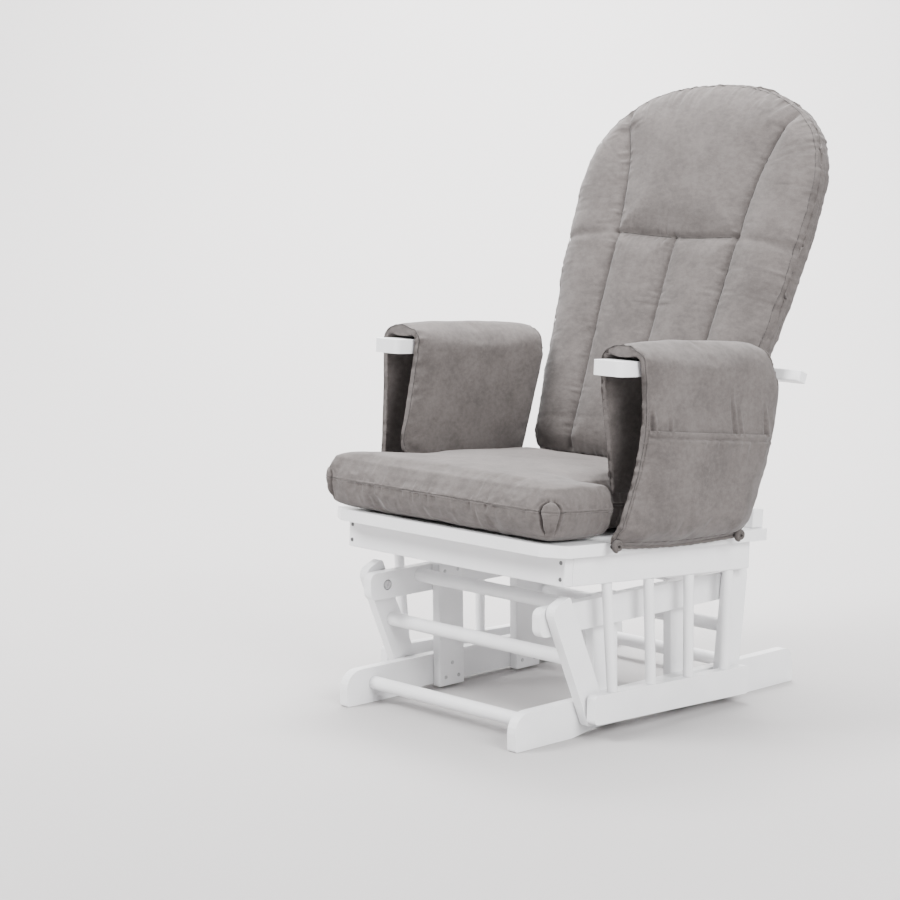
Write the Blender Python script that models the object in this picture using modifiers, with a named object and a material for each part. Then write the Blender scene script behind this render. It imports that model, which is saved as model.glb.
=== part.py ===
"""Reclining glider chair for a nursery: a fixed floor base, a seat that hangs from it on four swing
links, and a back that hinges on the seat. Metres, +Z up. The chair faces -Y, and the sitter's left is
+X. The origin is on the floor, in the middle of the chair's length and width.

Blender 4.5: blender --background --python part.py
"""

import math

import bmesh
import bpy
from mathutils import Matrix, Vector

# Driving dimensions ------------------------------------------------------------------------------

CENTRE_Y = 0.0417            # the origin's place along the chair, from the middle of the runners

BOARD = 0.019                # thickness of every flat board
TOUCH = 0.0003               # gap between two pieces that touch
EDGE = 0.0025                # rounding of a board's long edges
SOFT_EDGE = 0.012            # rounding of the cushions' edges

RUNNER_OUT = 0.2185          # outer face of the runners and hanger rails
RUNNER_HALF = 0.347
RUNNER_HEIGHT = 0.062
ARCH = (-0.215, 0.175)       # front and rear ends of the arch under a runner
ARCH_RISE = 0.008
ARCH_SLOPE = 0.050           # length of the arch's slope at each end
ARCH_ROUND = 0.060
RUNNER_ENDS = (0.032, 0.022) # rounding of a runner's upper corners, front and rear
RUNNER_TOE = 0.004           # and of its lower ones

HANGER_Z = (0.1785, 0.2265)
HANGER_ROUND = 0.014         # rounding of the hanger rails' ends
GLIDE_CENTRE = -0.0395       # middle of the four hanging points, along Y
TOP_HALF = 0.2105            # half the distance between a side's two upper pivots
BOTTOM_HALF = 0.169          # half the distance between its two lower pivots
LINK = 0.163                 # between a link's two pivots
LEAN_AT_REST = math.radians(22.25)   # front link from vertical; the empty seat settles to the rear
PIVOT_Z = 0.203
HANGER_OVERHANG = 0.039      # hanger rail beyond its pivot

UPRIGHT_Y = ((-0.146, -0.087), (0.045, 0.104))
UPRIGHT_FOOT = 0.004         # the uprights stop short of the floor
DOWEL = 0.012                # radius of the cross dowels
FLOOR_DOWELS = (("front", -0.285), ("rear", 0.270))      # their places along Y
FLOOR_DOWEL_Z = 0.034
HANGER_DOWELS = (("front", -0.175), ("rear", 0.134))
HANGER_DOWEL_Z = 0.2105

LINK_IN = 0.2215             # inner face of the links
LINK_WIDTH = 0.046
LINK_TOP = 0.036             # a link's board above its upper pivot
LINK_FOOT = 0.027            # and below its lower one
LINK_DOWEL = 0.45            # place of the dowel between a pair of links, as a share of LINK
SIDE_IN = 0.247              # inner face of the seat's side frames
SIDE_OUT = SIDE_IN + BOARD

RAIL_HEIGHT = 0.049
RAIL_OVERHANG = 0.023        # lower rail beyond its pivots
RAIL_ROUND = 0.008           # rounding of its ends
SPINDLE = 0.009              # radius
SPINDLE_FOOT_Y = (-0.161, -0.068, 0.025, 0.118)
SPINDLE_HEAD_Y = (-0.174, -0.074, 0.026, 0.126)

SEAT_TILT = math.radians(-4.0)       # the deck is lower at the rear
SEAT_PIVOT_Z = 0.300                 # height about which the deck is tilted
APRON_Z = (-0.0513, -0.0013)         # from here, heights and lengths lie along the tilted deck
APRON_Y = (-0.260, 0.175)
DECK_Z = (-0.0010, 0.0190)
DECK_Y = (-0.318, 0.200)
DECK_HALF = 0.285
DECK_CORNER = (0.040, 0.026)         # how much the front corners are cut off, across and along
DECK_ROUND = (0.010, 0.008)          # rounding of the deck's corners, front and rear
DECK_EDGE = 0.004
REAR_BOARD_Y = (0.172, 0.199)
REAR_BOARD_Z = 0.052
REAR_BOARD_HALF = 0.272

ARM_X = (0.236, 0.299)
ARM_Y = (-0.209, 0.145)
ARM_Z = (0.2875, 0.3125)
ARM_POST_Y = (-0.060, 0.060)
ARM_EDGE = 0.0070            # rounding of the armrests' long edges
ARM_ROUND = 0.010            # and of their corners

SEAT_CUSHION_TOP = 0.113
SEAT_CUSHION_FRONT = -0.335
SEAT_CUSHION_REAR = 0.102
SEAT_CUSHION_HALF = 0.280
SEAT_CUSHION_WAIST = 0.212
SEAT_CUSHION_EAR = -0.183

PAD_TOP = 0.340
PAD_EDGE = 0.006                     # rounding of the arm cushions' edges
PAD_INNER_X = (0.2155, 0.2335)
PAD_OUTER_X = (0.3015, 0.3220)
# The hanging panels from the side: place along the deck, height above it, corner radius. Both
# cushions are cut alike, so the panel towards the sitter's left is the one that runs forward.
PAD_OUTER_FRONT = {"left": [(-0.174, PAD_TOP, 0.012), (-0.168, 0.300, 0), (-0.160, 0.200, 0.2),
                            (-0.216, 0.018, 0.012)],
                   "right": [(-0.174, PAD_TOP, 0.012), (-0.170, 0.300, 0), (-0.167, 0.200, 0.2),
                             (-0.172, 0.018, 0.012)]}
PAD_OUTER_REAR = [(0.100, 0.012, 0.015), (0.168, 0.262, 0.06), (0.125, PAD_TOP, 0.03)]
PAD_INNER_FRONT = {"left": [(-0.174, PAD_TOP, 0.012), (-0.170, 0.277, 0), (-0.135, 0.090, 0.012)],
                   "right": [(-0.174, PAD_TOP, 0.012), (-0.178, 0.277, 0), (-0.194, 0.140, 0.012),
                             (-0.170, 0.088, 0.012)]}
PAD_INNER_REAR = [(0.088, 0.085, 0.012), (0.138, 0.280, 0.05), (0.125, PAD_TOP, 0.03)]

BACK_LEAN = math.radians(22.0)       # the back from vertical, as it rests
BACK_FOOT = (0.112, 0.420)           # y, z of the cushion's front face at its lower edge
CUSHION_DEPTH = 0.058
HINGE_S = -0.0632                    # from here, S runs up the back from the cushion's lower edge
STILE_X = 0.205
STILE_WIDTH = 0.045
CLEAT_IN = STILE_X + 0.002           # inner face of the hinge cleats
CLEAT_REACH = (0.024, 0.021, 0.018)  # the cleats in front of, behind and above the rod's middle
STILE_FOOT_S = -0.085
STILE_BENDS = ((0.230, 0.270), (0.205, 0.120))       # outer edge at the upper and lower bend: x, s
STILE_BEND = 0.3                     # radius of both
CREST_S = 0.470
CREST_RISE = 0.190
CREST_HALF = 0.256
CREST_INNER_S = 0.595
CREST_SIDE_S = 0.540                 # where the top rail's inner edge turns in
CREST_FLAT = 0.150                   # half the straight part of that edge
ROUNDNESS = 2.3                      # exponent of the rounded tops: 2 is an ellipse
BOTTOM_RAIL_S = (-0.030, 0.045)
SLAT_X = (-0.090, 0.0, 0.090)
SLAT_WIDTH = 0.042
SLAT_HALF = 0.006                    # half a slat's thickness
BAR_S = 0.1896
BAR_SIDE = 0.020
BAR_HALF = 0.305
CUSHION_FOOT_S = -0.012
CUSHION_TOP_S = 0.700
CUSHION_SHOULDER_S = 0.500
CUSHION_HALF = 0.272
# The cushion's side below the shoulder: x, s, corner radius.
CUSHION_SIDE = [(0.268, 0.340, 0.3), (0.245, 0.130, 0.1), (0.228, 0.040, 0.08),
                (0.222, CUSHION_FOOT_S, 0.03)]

PIN = 0.004                          # radius of the pivot bolts and the back's rod
HANGER_HEAD = (0.0078, 0.0045)       # radius and height of a bolt's head
RAIL_HEAD = (0.0095, 0.0040)
HANGER_WASHER, RAIL_WASHER = 0.009, 0.010            # radii
HANGER_BOLT_REACH, RAIL_BOLT_REACH = 0.0145, 0.0125  # how far each enters its link or rail
HANGER_RECESS = (0.0095, 0.0060)     # radius and depth of the hole that the head sits in
RAIL_RECESS = (0.0105, 0.0050)
BOLT_PLAY = 0.0010                   # a blind hole beyond its bolt's tip
BOLT_END = 0.0050                    # wood left beyond a lower rail's hole
ROD_END = 0.004                      # the back's rod beyond its cleats
CLEAR = 0.010                        # how far a cutter runs past the face that it goes through
RUNNING = 0.0004                     # running clearance round a pin
OPEN_PIVOT = 0.0034                  # clearance at the rear lower pivots, where the linkage is opened

WHITE = ("painted_wood", (0.86, 0.86, 0.87, 1.0), 0.38, 0.0)
GREY = ("suede_cloth", (0.29, 0.275, 0.27, 1.0), 0.90, 0.0)
STEEL = ("zinc_steel", (0.60, 0.60, 0.61, 1.0), 0.35, 1.0)


# Scene -------------------------------------------------------------------------------------------

def clear_scene():
    for item in list(bpy.data.objects):
        bpy.data.objects.remove(item, do_unlink=True)


def new_collection(name):
    made = bpy.data.collections.new(name)
    bpy.context.scene.collection.children.link(made)
    return made


clear_scene()
CHAIR = new_collection("glider_nursery_chair")
CUTTERS = new_collection("cutters")
TO_ORIGIN = Matrix.Translation((0.0, -CENTRE_Y, 0.0))
SIDES = ((1, "left"), (-1, "right"))


def finish(kind):
    """A new material of this kind, one for each sub-part."""
    name, colour, roughness, metallic = kind
    made = bpy.data.materials.new(name)
    made.use_nodes = True
    shader = made.node_tree.nodes["Principled BSDF"]
    shader.inputs["Base Color"].default_value = colour
    shader.inputs["Roughness"].default_value = roughness
    shader.inputs["Metallic"].default_value = metallic
    return made


def axis_empty(name, place):
    """An empty on a joint's axis, which the moving pieces are parented to."""
    empty = bpy.data.objects.new(name, None)
    empty.empty_display_size = 0.05
    CHAIR.objects.link(empty)
    empty.matrix_world = TO_ORIGIN @ Matrix.Translation(place)
    return empty


def add_piece(name, mesh, kind, parent, place=None):
    """The mesh as one named sub-part, placed in the chair and parented without moving it."""
    piece = bpy.data.objects.new(name, mesh)
    CHAIR.objects.link(piece)
    piece.data.materials.append(finish(kind))
    piece.parent = parent
    piece.matrix_parent_inverse = (TO_ORIGIN @ Matrix.Translation(AXES[parent.name])).inverted()
    piece.matrix_basis = TO_ORIGIN @ (place or Matrix())
    mesh.shade_smooth()
    mesh.set_sharp_from_angle(angle=math.radians(32))
    return piece


# Shapes ------------------------------------------------------------------------------------------

def fillet(corners, steps=5):
    """An outline's points, with each (u, v, radius) corner rounded to its radius."""
    points = []
    for index, (u, v, radius) in enumerate(corners):
        corner = Vector((u, v))
        if radius == 0:
            points.append(corner)
            continue
        before = (Vector(corners[index - 1][:2]) - corner).normalized()
        after = (Vector(corners[(index + 1) % len(corners)][:2]) - corner).normalized()
        half = before.angle(after) / 2
        reach = radius / math.tan(half)
        centre = corner + (before + after).normalized() * radius / math.sin(half)
        start = corner + before * reach - centre
        turn = start.angle_signed(corner + after * reach - centre)
        for step in range(steps + 1):
            arm = start.copy()
            arm.rotate(Matrix.Rotation(-turn * step / steps, 2))
            points.append(centre + arm)
    return points


def box_outline(u_low, u_high, v_low, v_high, radius):
    """A rectangle's points, its corners rounded."""
    return fillet([(u_low, v_low, radius), (u_high, v_low, radius), (u_high, v_high, radius),
                   (u_low, v_high, radius)])


def rounded_top(half, low, rise, steps):
    """Points over a rounded top, from its right foot to its left one."""
    points = []
    for step in range(steps + 1):
        turn = math.pi * step / steps
        across = math.copysign(abs(math.cos(turn)) ** (2 / ROUNDNESS), math.cos(turn))
        points.append(Vector((half * across, low + rise * math.sin(turn) ** (2 / ROUNDNESS))))
    return points


def slab(points, thickness, edge=EDGE, steps=2):
    """A flat outline extruded to a board, as a mesh in its own XY plane, its edges rounded."""
    curve = bpy.data.curves.new("outline", "CURVE")
    curve.dimensions = "2D"
    curve.fill_mode = "BOTH"
    curve.extrude = thickness / 2
    spline = curve.splines.new("POLY")
    spline.points.add(len(points) - 1)
    for target, point in zip(spline.points, points):
        target.co = (point[0], point[1], 0.0, 1.0)
    spline.use_cyclic_u = True
    holder = bpy.data.objects.new("outline", curve)
    bpy.context.scene.collection.objects.link(holder)
    flat = bpy.data.meshes.new_from_object(holder.evaluated_get(bpy.context.evaluated_depsgraph_get()))
    bpy.data.objects.remove(holder)
    shape = bmesh.new()
    shape.from_mesh(flat)
    bmesh.ops.remove_doubles(shape, verts=shape.verts, dist=0.00005)
    bmesh.ops.recalc_face_normals(shape, faces=shape.faces)
    if edge:
        rims = [e for e in shape.edges if len(e.link_faces) == 2 and e.calc_face_angle() > 0.9]
        bmesh.ops.bevel(shape, geom=rims, offset=edge, segments=steps, profile=0.5, affect="EDGES",
                        clamp_overlap=True)
    bmesh.ops.dissolve_degenerate(shape, edges=shape.edges, dist=0.00002)
    shape.to_mesh(flat)
    shape.free()
    return flat


def bar_mesh(low, high, edge=EDGE):
    """A straight bar between two corners, with its edges rounded."""
    shape = bmesh.new()
    bmesh.ops.create_cube(shape, size=1.0)
    low, high = Vector(low), Vector(high)
    for vert in shape.verts:
        vert.co = Vector([a + (b - a) * (c + 0.5) for a, b, c in zip(low, high, vert.co)])
    bmesh.ops.bevel(shape, geom=shape.edges[:], offset=edge, segments=2, profile=0.5, affect="EDGES")
    mesh = bpy.data.meshes.new("bar")
    shape.to_mesh(mesh)
    shape.free()
    return mesh


def rod_mesh(start, end, radius, sides=24):
    """A round rod from one point to another."""
    start, end = Vector(start), Vector(end)
    shape = bmesh.new()
    bmesh.ops.create_cone(shape, cap_ends=True, segments=sides, radius1=radius, radius2=radius,
                          depth=(end - start).length)
    turn = (end - start).to_track_quat("Z", "Y").to_matrix().to_4x4()
    shape.transform(Matrix.Translation((start + end) / 2) @ turn)
    mesh = bpy.data.meshes.new("rod")
    shape.to_mesh(mesh)
    shape.free()
    return mesh


def cut(piece, name, mesh, place=None):
    """Takes the mesh, as a named cutter in the chair's own place, out of the piece."""
    cutter = bpy.data.objects.new(name, mesh)
    CUTTERS.objects.link(cutter)
    cutter.matrix_world = TO_ORIGIN @ (place or Matrix())
    cutter.hide_render = True
    cutter.display_type = "WIRE"
    hole = piece.modifiers.new(name, "BOOLEAN")
    hole.operation = "DIFFERENCE"
    hole.object = cutter


def bore(piece, name, y, z, radius, x_from, x_to):
    """A round hole along X."""
    cut(piece, name, rod_mesh((x_from, y, z), (x_to, y, z), radius))


# An outline's own axes to the chair's: u, v and the thickness to Y, Z and X, or to X, S and the front.
SIDE_ON = Matrix(((0, 0, 1, 0), (1, 0, 0, 0), (0, 1, 0, 0), (0, 0, 0, 1)))
DECK_FRAME = Matrix.Translation((0, 0, SEAT_PIVOT_Z)) @ Matrix.Rotation(SEAT_TILT, 4, "X")
BACK_FRAME = (Matrix.Translation((0, BACK_FOOT[0], BACK_FOOT[1]))
              @ Matrix.Rotation(math.pi / 2 - BACK_LEAN, 4, "X"))


def side_board(x_mid, frame=None):
    """Where a slab goes so that its face is square to X, at this place along X."""
    return (frame or Matrix()) @ Matrix.Translation((x_mid, 0, 0)) @ SIDE_ON


def deck_point(x, y, z):
    return DECK_FRAME @ Vector((x, y, z))


def back_point(x, s, depth):
    """A point on the back: across, up its slope, and behind the cushion's front face."""
    return BACK_FRAME @ Vector((x, s, -depth))


# The linkage at rest -----------------------------------------------------------------------------

def polar(y, z, length, lean):
    """The lower end of a link hung at y, z, leaning this far to the rear."""
    return y + length * math.sin(lean), z - length * math.cos(lean)


def solve_linkage():
    """The lower pivots and the rear link's lean, for the front link's lean at rest."""
    front_top, rear_top = GLIDE_CENTRE - TOP_HALF, GLIDE_CENTRE + TOP_HALF
    front = Vector(polar(front_top, PIVOT_Z, LINK, LEAN_AT_REST))
    low, high = -0.6, 0.6
    for _ in range(60):
        lean = (low + high) / 2
        span = (Vector(polar(rear_top, PIVOT_Z, LINK, lean)) - front).length
        low, high = (lean, high) if span < 2 * BOTTOM_HALF else (low, lean)
    return front, Vector(polar(rear_top, PIVOT_Z, LINK, lean)), lean


FRONT_TOP_Y = GLIDE_CENTRE - TOP_HALF
REAR_TOP_Y = GLIDE_CENTRE + TOP_HALF
FRONT_LOW, REAR_LOW, REAR_LEAN = solve_linkage()
RAIL_TILT = math.atan2(REAR_LOW.y - FRONT_LOW.y, REAR_LOW.x - FRONT_LOW.x)
HINGE = back_point(0, HINGE_S, CUSHION_DEPTH + TOUCH + BOARD / 2)

AXES = {
    "base": (0, 0, 0),
    "front_link_axis": (0, FRONT_TOP_Y, PIVOT_Z),
    "rear_link_axis": (0, REAR_TOP_Y, PIVOT_Z),
    "seat_axis": (0, FRONT_LOW.x, FRONT_LOW.y),
    "back_axis": tuple(HINGE),
}
BODY = {name: axis_empty(name, place) for name, place in AXES.items()}


# Base --------------------------------------------------------------------------------------------

def runner_outline():
    front, rear = ARCH
    return fillet([(-RUNNER_HALF, 0, RUNNER_TOE), (front, 0, ARCH_ROUND),
                   (front + ARCH_SLOPE, ARCH_RISE, ARCH_ROUND), (rear - ARCH_SLOPE, ARCH_RISE, ARCH_ROUND),
                   (rear, 0, ARCH_ROUND), (RUNNER_HALF, 0, RUNNER_TOE),
                   (RUNNER_HALF, RUNNER_HEIGHT, RUNNER_ENDS[1]),
                   (-RUNNER_HALF, RUNNER_HEIGHT, RUNNER_ENDS[0])])


def make_base():
    runner = slab(runner_outline(), BOARD)
    low, high = HANGER_Z
    front, rear = FRONT_TOP_Y - HANGER_OVERHANG, REAR_TOP_Y + HANGER_OVERHANG
    hanger = slab(box_outline(front, rear, low, high, HANGER_ROUND), BOARD)
    inner = RUNNER_OUT - BOARD
    for side, word in SIDES:
        middle = side * (RUNNER_OUT - BOARD / 2)
        add_piece(f"runner_{word}", runner.copy(), WHITE, BODY["base"], side_board(middle))
        rail = add_piece(f"hanger_rail_{word}", hanger.copy(), WHITE, BODY["base"], side_board(middle))
        for end, y in (("front", FRONT_TOP_Y), ("rear", REAR_TOP_Y)):
            bore(rail, f"hanger_hole_{end}_{word}", y, PIVOT_Z, PIN + RUNNING, side * (inner - CLEAR),
                 side * (RUNNER_OUT + CLEAR))
            radius, depth = HANGER_RECESS
            bore(rail, f"hanger_recess_{end}_{word}", y, PIVOT_Z, radius, side * (inner - CLEAR),
                 side * (inner + depth))
            hanger_bolt(f"hanger_bolt_{end}_{word}", side, y)
        for end, (y0, y1) in zip(("front", "rear"), UPRIGHT_Y):
            x = sorted((side * (inner - TOUCH), side * (inner - TOUCH - BOARD)))
            add_piece(f"upright_{end}_{word}",
                      bar_mesh((x[0], y0, UPRIGHT_FOOT), (x[1], y1, HANGER_Z[1] - TOUCH)), WHITE,
                      BODY["base"])
    reach = inner - TOUCH
    rows = (("floor", FLOOR_DOWELS, FLOOR_DOWEL_Z), ("hanger", HANGER_DOWELS, HANGER_DOWEL_Z))
    for kind, places, z in rows:
        for end, y in places:
            add_piece(f"{kind}_dowel_{end}", rod_mesh((-reach, y, z), (reach, y, z), DOWEL), WHITE,
                      BODY["base"])


# Bolts -------------------------------------------------------------------------------------------

def turned_bolt(name, profile, side, y, z, parent):
    """A bolt along X from its turned profile of (radius, distance from the middle plane)."""
    mesh = bpy.data.meshes.new(name)
    shape = bmesh.new()
    points = [shape.verts.new((radius, 0.0, x)) for radius, x in profile]
    for first, second in zip(points, points[1:]):
        shape.edges.new((first, second))
    shape.to_mesh(mesh)
    shape.free()
    outward = Matrix.Translation((0, y, z)) @ Matrix.Rotation(side * math.pi / 2, 4, "Y")
    bolt = add_piece(name, mesh, STEEL, parent, outward)
    turn = bolt.modifiers.new("turned", "SCREW")
    turn.steps = turn.render_steps = 16
    turn.use_merge_vertices = True
    turn.merge_threshold = 0.00005
    turn.use_smooth_shade = True


def bolt_profile(faces, head, washer):
    """From tip to head. faces: where the head, the washer's two faces and the tip are, along X."""
    start, near, far, tip = faces
    radius, height = head
    return [(0, tip), (PIN, tip), (PIN, far), (washer, far), (washer, near), (PIN, near),
            (PIN, start + height), (radius, start + height), (radius, start), (0, start)]


def hanger_bolt(name, side, y):
    """Sunk in the hanger rail's inner face, with a washer between the rail and the link."""
    faces = (RUNNER_OUT - BOARD + 0.0010, RUNNER_OUT + TOUCH, LINK_IN - TOUCH, LINK_IN + HANGER_BOLT_REACH)
    turned_bolt(name, bolt_profile(faces, HANGER_HEAD, HANGER_WASHER), side, y, PIVOT_Z, BODY["base"])


def rail_bolt(name, side, y, z, parent):
    """Sunk in the link's inner face, with a washer between the link and the seat's lower rail."""
    faces = (LINK_IN + 0.0005, LINK_IN + BOARD + TOUCH, SIDE_IN - TOUCH, SIDE_IN + RAIL_BOLT_REACH)
    turned_bolt(name, bolt_profile(faces, RAIL_HEAD, RAIL_WASHER), side, y, z, parent)


# Links -------------------------------------------------------------------------------------------

def make_links(end, top_y, lean, facing):
    """One end's pair of links and the dowel that joins them. facing is -1 at the front."""
    half = LINK_WIDTH / 2
    foot = -LINK - LINK_FOOT
    outline = [(-half, LINK_TOP, 0.018), (-half, foot, 0.006), (half, foot - 0.003, 0.010),
               (half, LINK_TOP, 0.006)]
    if facing > 0:
        outline = [(-u, v, radius) for u, v, radius in reversed(outline)]
    board = slab(fillet(outline), BOARD)
    hung = Matrix.Translation((0, top_y, PIVOT_Z)) @ Matrix.Rotation(lean, 4, "X")
    low_y, low_z = polar(top_y, PIVOT_Z, LINK, lean)
    parent = BODY[f"{end}_link_axis"]
    for side, word in SIDES:
        link = add_piece(f"{end}_link_{word}", board.copy(), WHITE, parent,
                         side_board(side * (LINK_IN + BOARD / 2), hung))
        near, far = side * (LINK_IN - CLEAR), side * (LINK_IN + BOARD + CLEAR)
        bore(link, f"{end}_link_top_hole_{word}", top_y, PIVOT_Z, PIN + RUNNING, near,
             side * (LINK_IN + HANGER_BOLT_REACH + BOLT_PLAY))
        bore(link, f"{end}_link_low_hole_{word}", low_y, low_z, PIN + RUNNING, near, far)
        radius, depth = RAIL_RECESS
        bore(link, f"{end}_link_recess_{word}", low_y, low_z, radius, near, side * (LINK_IN + depth))
        rail_bolt(f"rail_bolt_{end}_{word}", side, low_y, low_z, parent)
    dowel_y, dowel_z = polar(top_y, PIVOT_Z, LINK_DOWEL * LINK, lean)
    reach = LINK_IN - TOUCH
    add_piece(f"{end}_link_dowel", rod_mesh((-reach, dowel_y, dowel_z), (reach, dowel_y, dowel_z), DOWEL),
              WHITE, parent)


# Seat --------------------------------------------------------------------------------------------

def on_rail_top(y):
    """The height of the lower rail's top edge at this place along the chair."""
    return (FRONT_LOW.y + (y - FRONT_LOW.x) * math.tan(RAIL_TILT)
            + RAIL_HEIGHT / 2 / math.cos(RAIL_TILT))


def under_apron(y):
    """The height of the side apron's lower edge at this place along the chair."""
    return SEAT_PIVOT_Z + y * math.tan(SEAT_TILT) + APRON_Z[0] / math.cos(SEAT_TILT)


def spindle_mesh(x, foot, head):
    """A round spindle whose ends are cut to the slopes of the rail under it and the apron over it."""
    mesh = rod_mesh((x, foot, on_rail_top(foot)), (x, head, under_apron(head)), SPINDLE, 20)
    for vert in mesh.vertices:
        if vert.co.z < (on_rail_top(foot) + under_apron(head)) / 2:
            vert.co.z = on_rail_top(vert.co.y) + TOUCH
        else:
            vert.co.z = under_apron(vert.co.y) - TOUCH
    return mesh


def make_side_frames():
    half = RAIL_HEIGHT / 2
    start, end = -RAIL_OVERHANG, 2 * BOTTOM_HALF + RAIL_OVERHANG
    rail = slab(box_outline(start, end, -half, half, RAIL_ROUND), BOARD)
    apron = slab([Vector((APRON_Y[0], APRON_Z[0])), Vector((APRON_Y[1], APRON_Z[0])),
                  Vector((APRON_Y[1], APRON_Z[1])), Vector((APRON_Y[0], APRON_Z[1]))], BOARD)
    laid = (Matrix.Translation((0, FRONT_LOW.x, FRONT_LOW.y)) @ Matrix.Rotation(RAIL_TILT, 4, "X"))
    for side, word in SIDES:
        middle = side * (SIDE_IN + BOARD / 2)
        lower = add_piece(f"lower_rail_{word}", rail.copy(), WHITE, BODY["seat_axis"],
                          side_board(middle, laid))
        for end, place, room in (("front", FRONT_LOW, RUNNING), ("rear", REAR_LOW, OPEN_PIVOT)):
            bore(lower, f"rail_hole_{end}_{word}", place.x, place.y, PIN + room, side * (SIDE_IN - CLEAR),
                 side * (SIDE_OUT - BOLT_END))
        add_piece(f"side_apron_{word}", apron.copy(), WHITE, BODY["seat_axis"],
                  side_board(middle, DECK_FRAME))
        for number, (foot, head) in enumerate(zip(SPINDLE_FOOT_Y, SPINDLE_HEAD_Y), 1):
            add_piece(f"spindle_{number}_{word}", spindle_mesh(middle, foot, head), WHITE,
                      BODY["seat_axis"])


def make_deck():
    """The deck board with its cut front corners, the front apron and the board along its rear edge."""
    front, rear = DECK_Y
    across, along = DECK_CORNER
    fore, aft = DECK_ROUND
    deck = fillet([(-DECK_HALF + across, front, fore), (DECK_HALF - across, front, fore),
                   (DECK_HALF, front + along, fore), (DECK_HALF, rear, aft), (-DECK_HALF, rear, aft),
                   (-DECK_HALF, front + along, fore)], steps=3)
    thickness = DECK_Z[1] - DECK_Z[0]
    middle = Matrix.Translation((0, 0, sum(DECK_Z) / 2))
    add_piece("seat_deck", slab(deck, thickness, DECK_EDGE), WHITE, BODY["seat_axis"], DECK_FRAME @ middle)
    face = APRON_Y[0] - TOUCH
    add_piece("front_apron", bar_mesh((-SIDE_OUT, face - BOARD, APRON_Z[0]), (SIDE_OUT, face, APRON_Z[1])),
              WHITE, BODY["seat_axis"], DECK_FRAME)
    add_piece("rear_cross_board",
              bar_mesh((-REAR_BOARD_HALF, REAR_BOARD_Y[0], DECK_Z[1] + TOUCH),
                       (REAR_BOARD_HALF, REAR_BOARD_Y[1], REAR_BOARD_Z)),
              WHITE, BODY["seat_axis"], DECK_FRAME)


def make_arms():
    low, high = ARM_X
    front, rear = ARM_Y
    for side, word in SIDES:
        top = box_outline(low, high, front, rear, ARM_ROUND)
        if side < 0:
            top = [Vector((-p.x, p.y)) for p in reversed(top)]
        thickness = ARM_Z[1] - ARM_Z[0]
        place = DECK_FRAME @ Matrix.Translation((0, 0, sum(ARM_Z) / 2))
        add_piece(f"armrest_{word}", slab(top, thickness, ARM_EDGE, 3), WHITE, BODY["seat_axis"], place)
        x = side * (low + high) / 2
        add_piece(f"arm_post_{word}",
                  bar_mesh((x - BOARD / 2, ARM_POST_Y[0], DECK_Z[1] + TOUCH),
                           (x + BOARD / 2, ARM_POST_Y[1], ARM_Z[0] - TOUCH)),
                  WHITE, BODY["seat_axis"], DECK_FRAME)


def make_back_hinge():
    """A cleat at each side of the deck, and the steel rod that the back turns on."""
    hinge = DECK_FRAME.inverted() @ HINGE
    foot = DECK_Z[1] + TOUCH
    for side, word in SIDES:
        x = sorted((side * CLEAT_IN, side * (CLEAT_IN + BOARD)))
        cleat = add_piece(f"hinge_cleat_{word}",
                          bar_mesh((x[0], hinge.y - CLEAT_REACH[0], foot),
                                   (x[1], hinge.y + CLEAT_REACH[1], hinge.z + CLEAT_REACH[2])),
                          WHITE, BODY["seat_axis"], DECK_FRAME)
        bore(cleat, f"cleat_hole_{word}", HINGE.y, HINGE.z, PIN + RUNNING, side * (CLEAT_IN - CLEAR),
             side * (CLEAT_IN + BOARD + CLEAR))
    reach = CLEAT_IN + BOARD + ROD_END
    add_piece("back_pivot_rod", rod_mesh((-reach, HINGE.y, HINGE.z), (reach, HINGE.y, HINGE.z), PIN, 16),
              STEEL, BODY["seat_axis"])


def make_seat_cushion():
    """A T: full width in front of the arms, and narrow between them."""
    wide, waist = SEAT_CUSHION_HALF, SEAT_CUSHION_WAIST
    front, ear, rear = SEAT_CUSHION_FRONT, SEAT_CUSHION_EAR, SEAT_CUSHION_REAR
    outline = fillet([(-wide, front, 0.03), (wide, front, 0.03), (wide, ear, 0.012), (waist, ear, 0.006),
                      (waist, rear, 0.02), (-waist, rear, 0.02), (-waist, ear, 0.006),
                      (-wide, ear, 0.012)], steps=4)
    low, high = DECK_Z[1] + TOUCH, SEAT_CUSHION_TOP
    place = DECK_FRAME @ Matrix.Translation((0, 0, (low + high) / 2))
    add_piece("seat_cushion", slab(outline, high - low, SOFT_EDGE), GREY, BODY["seat_axis"], place)


def make_arm_cushions():
    """A saddle over each armrest: a padded top with a flap hanging on each side of the arm."""
    roof = [Vector((-0.174, ARM_Z[1] + TOUCH)), Vector((0.132, ARM_Z[1] + TOUCH)),
            Vector((0.120, PAD_TOP - 0.001)), Vector((-0.174, PAD_TOP - 0.001))]
    def panel(outline, x_range, edge):
        return slab(outline, x_range[1] - x_range[0], edge, 1), sum(x_range) / 2

    for side, word in SIDES:
        outer = fillet(PAD_OUTER_FRONT[word] + PAD_OUTER_REAR, steps=4)
        inner = fillet(PAD_INNER_FRONT[word] + PAD_INNER_REAR, steps=4)
        mesh, middle = panel(outer, PAD_OUTER_X, PAD_EDGE)
        pad = add_piece(f"arm_cushion_{word}", mesh, GREY, BODY["seat_axis"],
                        side_board(side * middle, DECK_FRAME))
        mesh, middle = panel(inner, PAD_INNER_X, PAD_EDGE)
        join(pad, f"inner_flap_{word}", mesh, side_board(side * middle, DECK_FRAME))
        mesh, middle = panel(roof, (PAD_INNER_X[0] + PAD_EDGE, PAD_OUTER_X[1] - PAD_EDGE), 0)
        join(pad, f"pad_roof_{word}", mesh, side_board(side * middle, DECK_FRAME))


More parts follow.
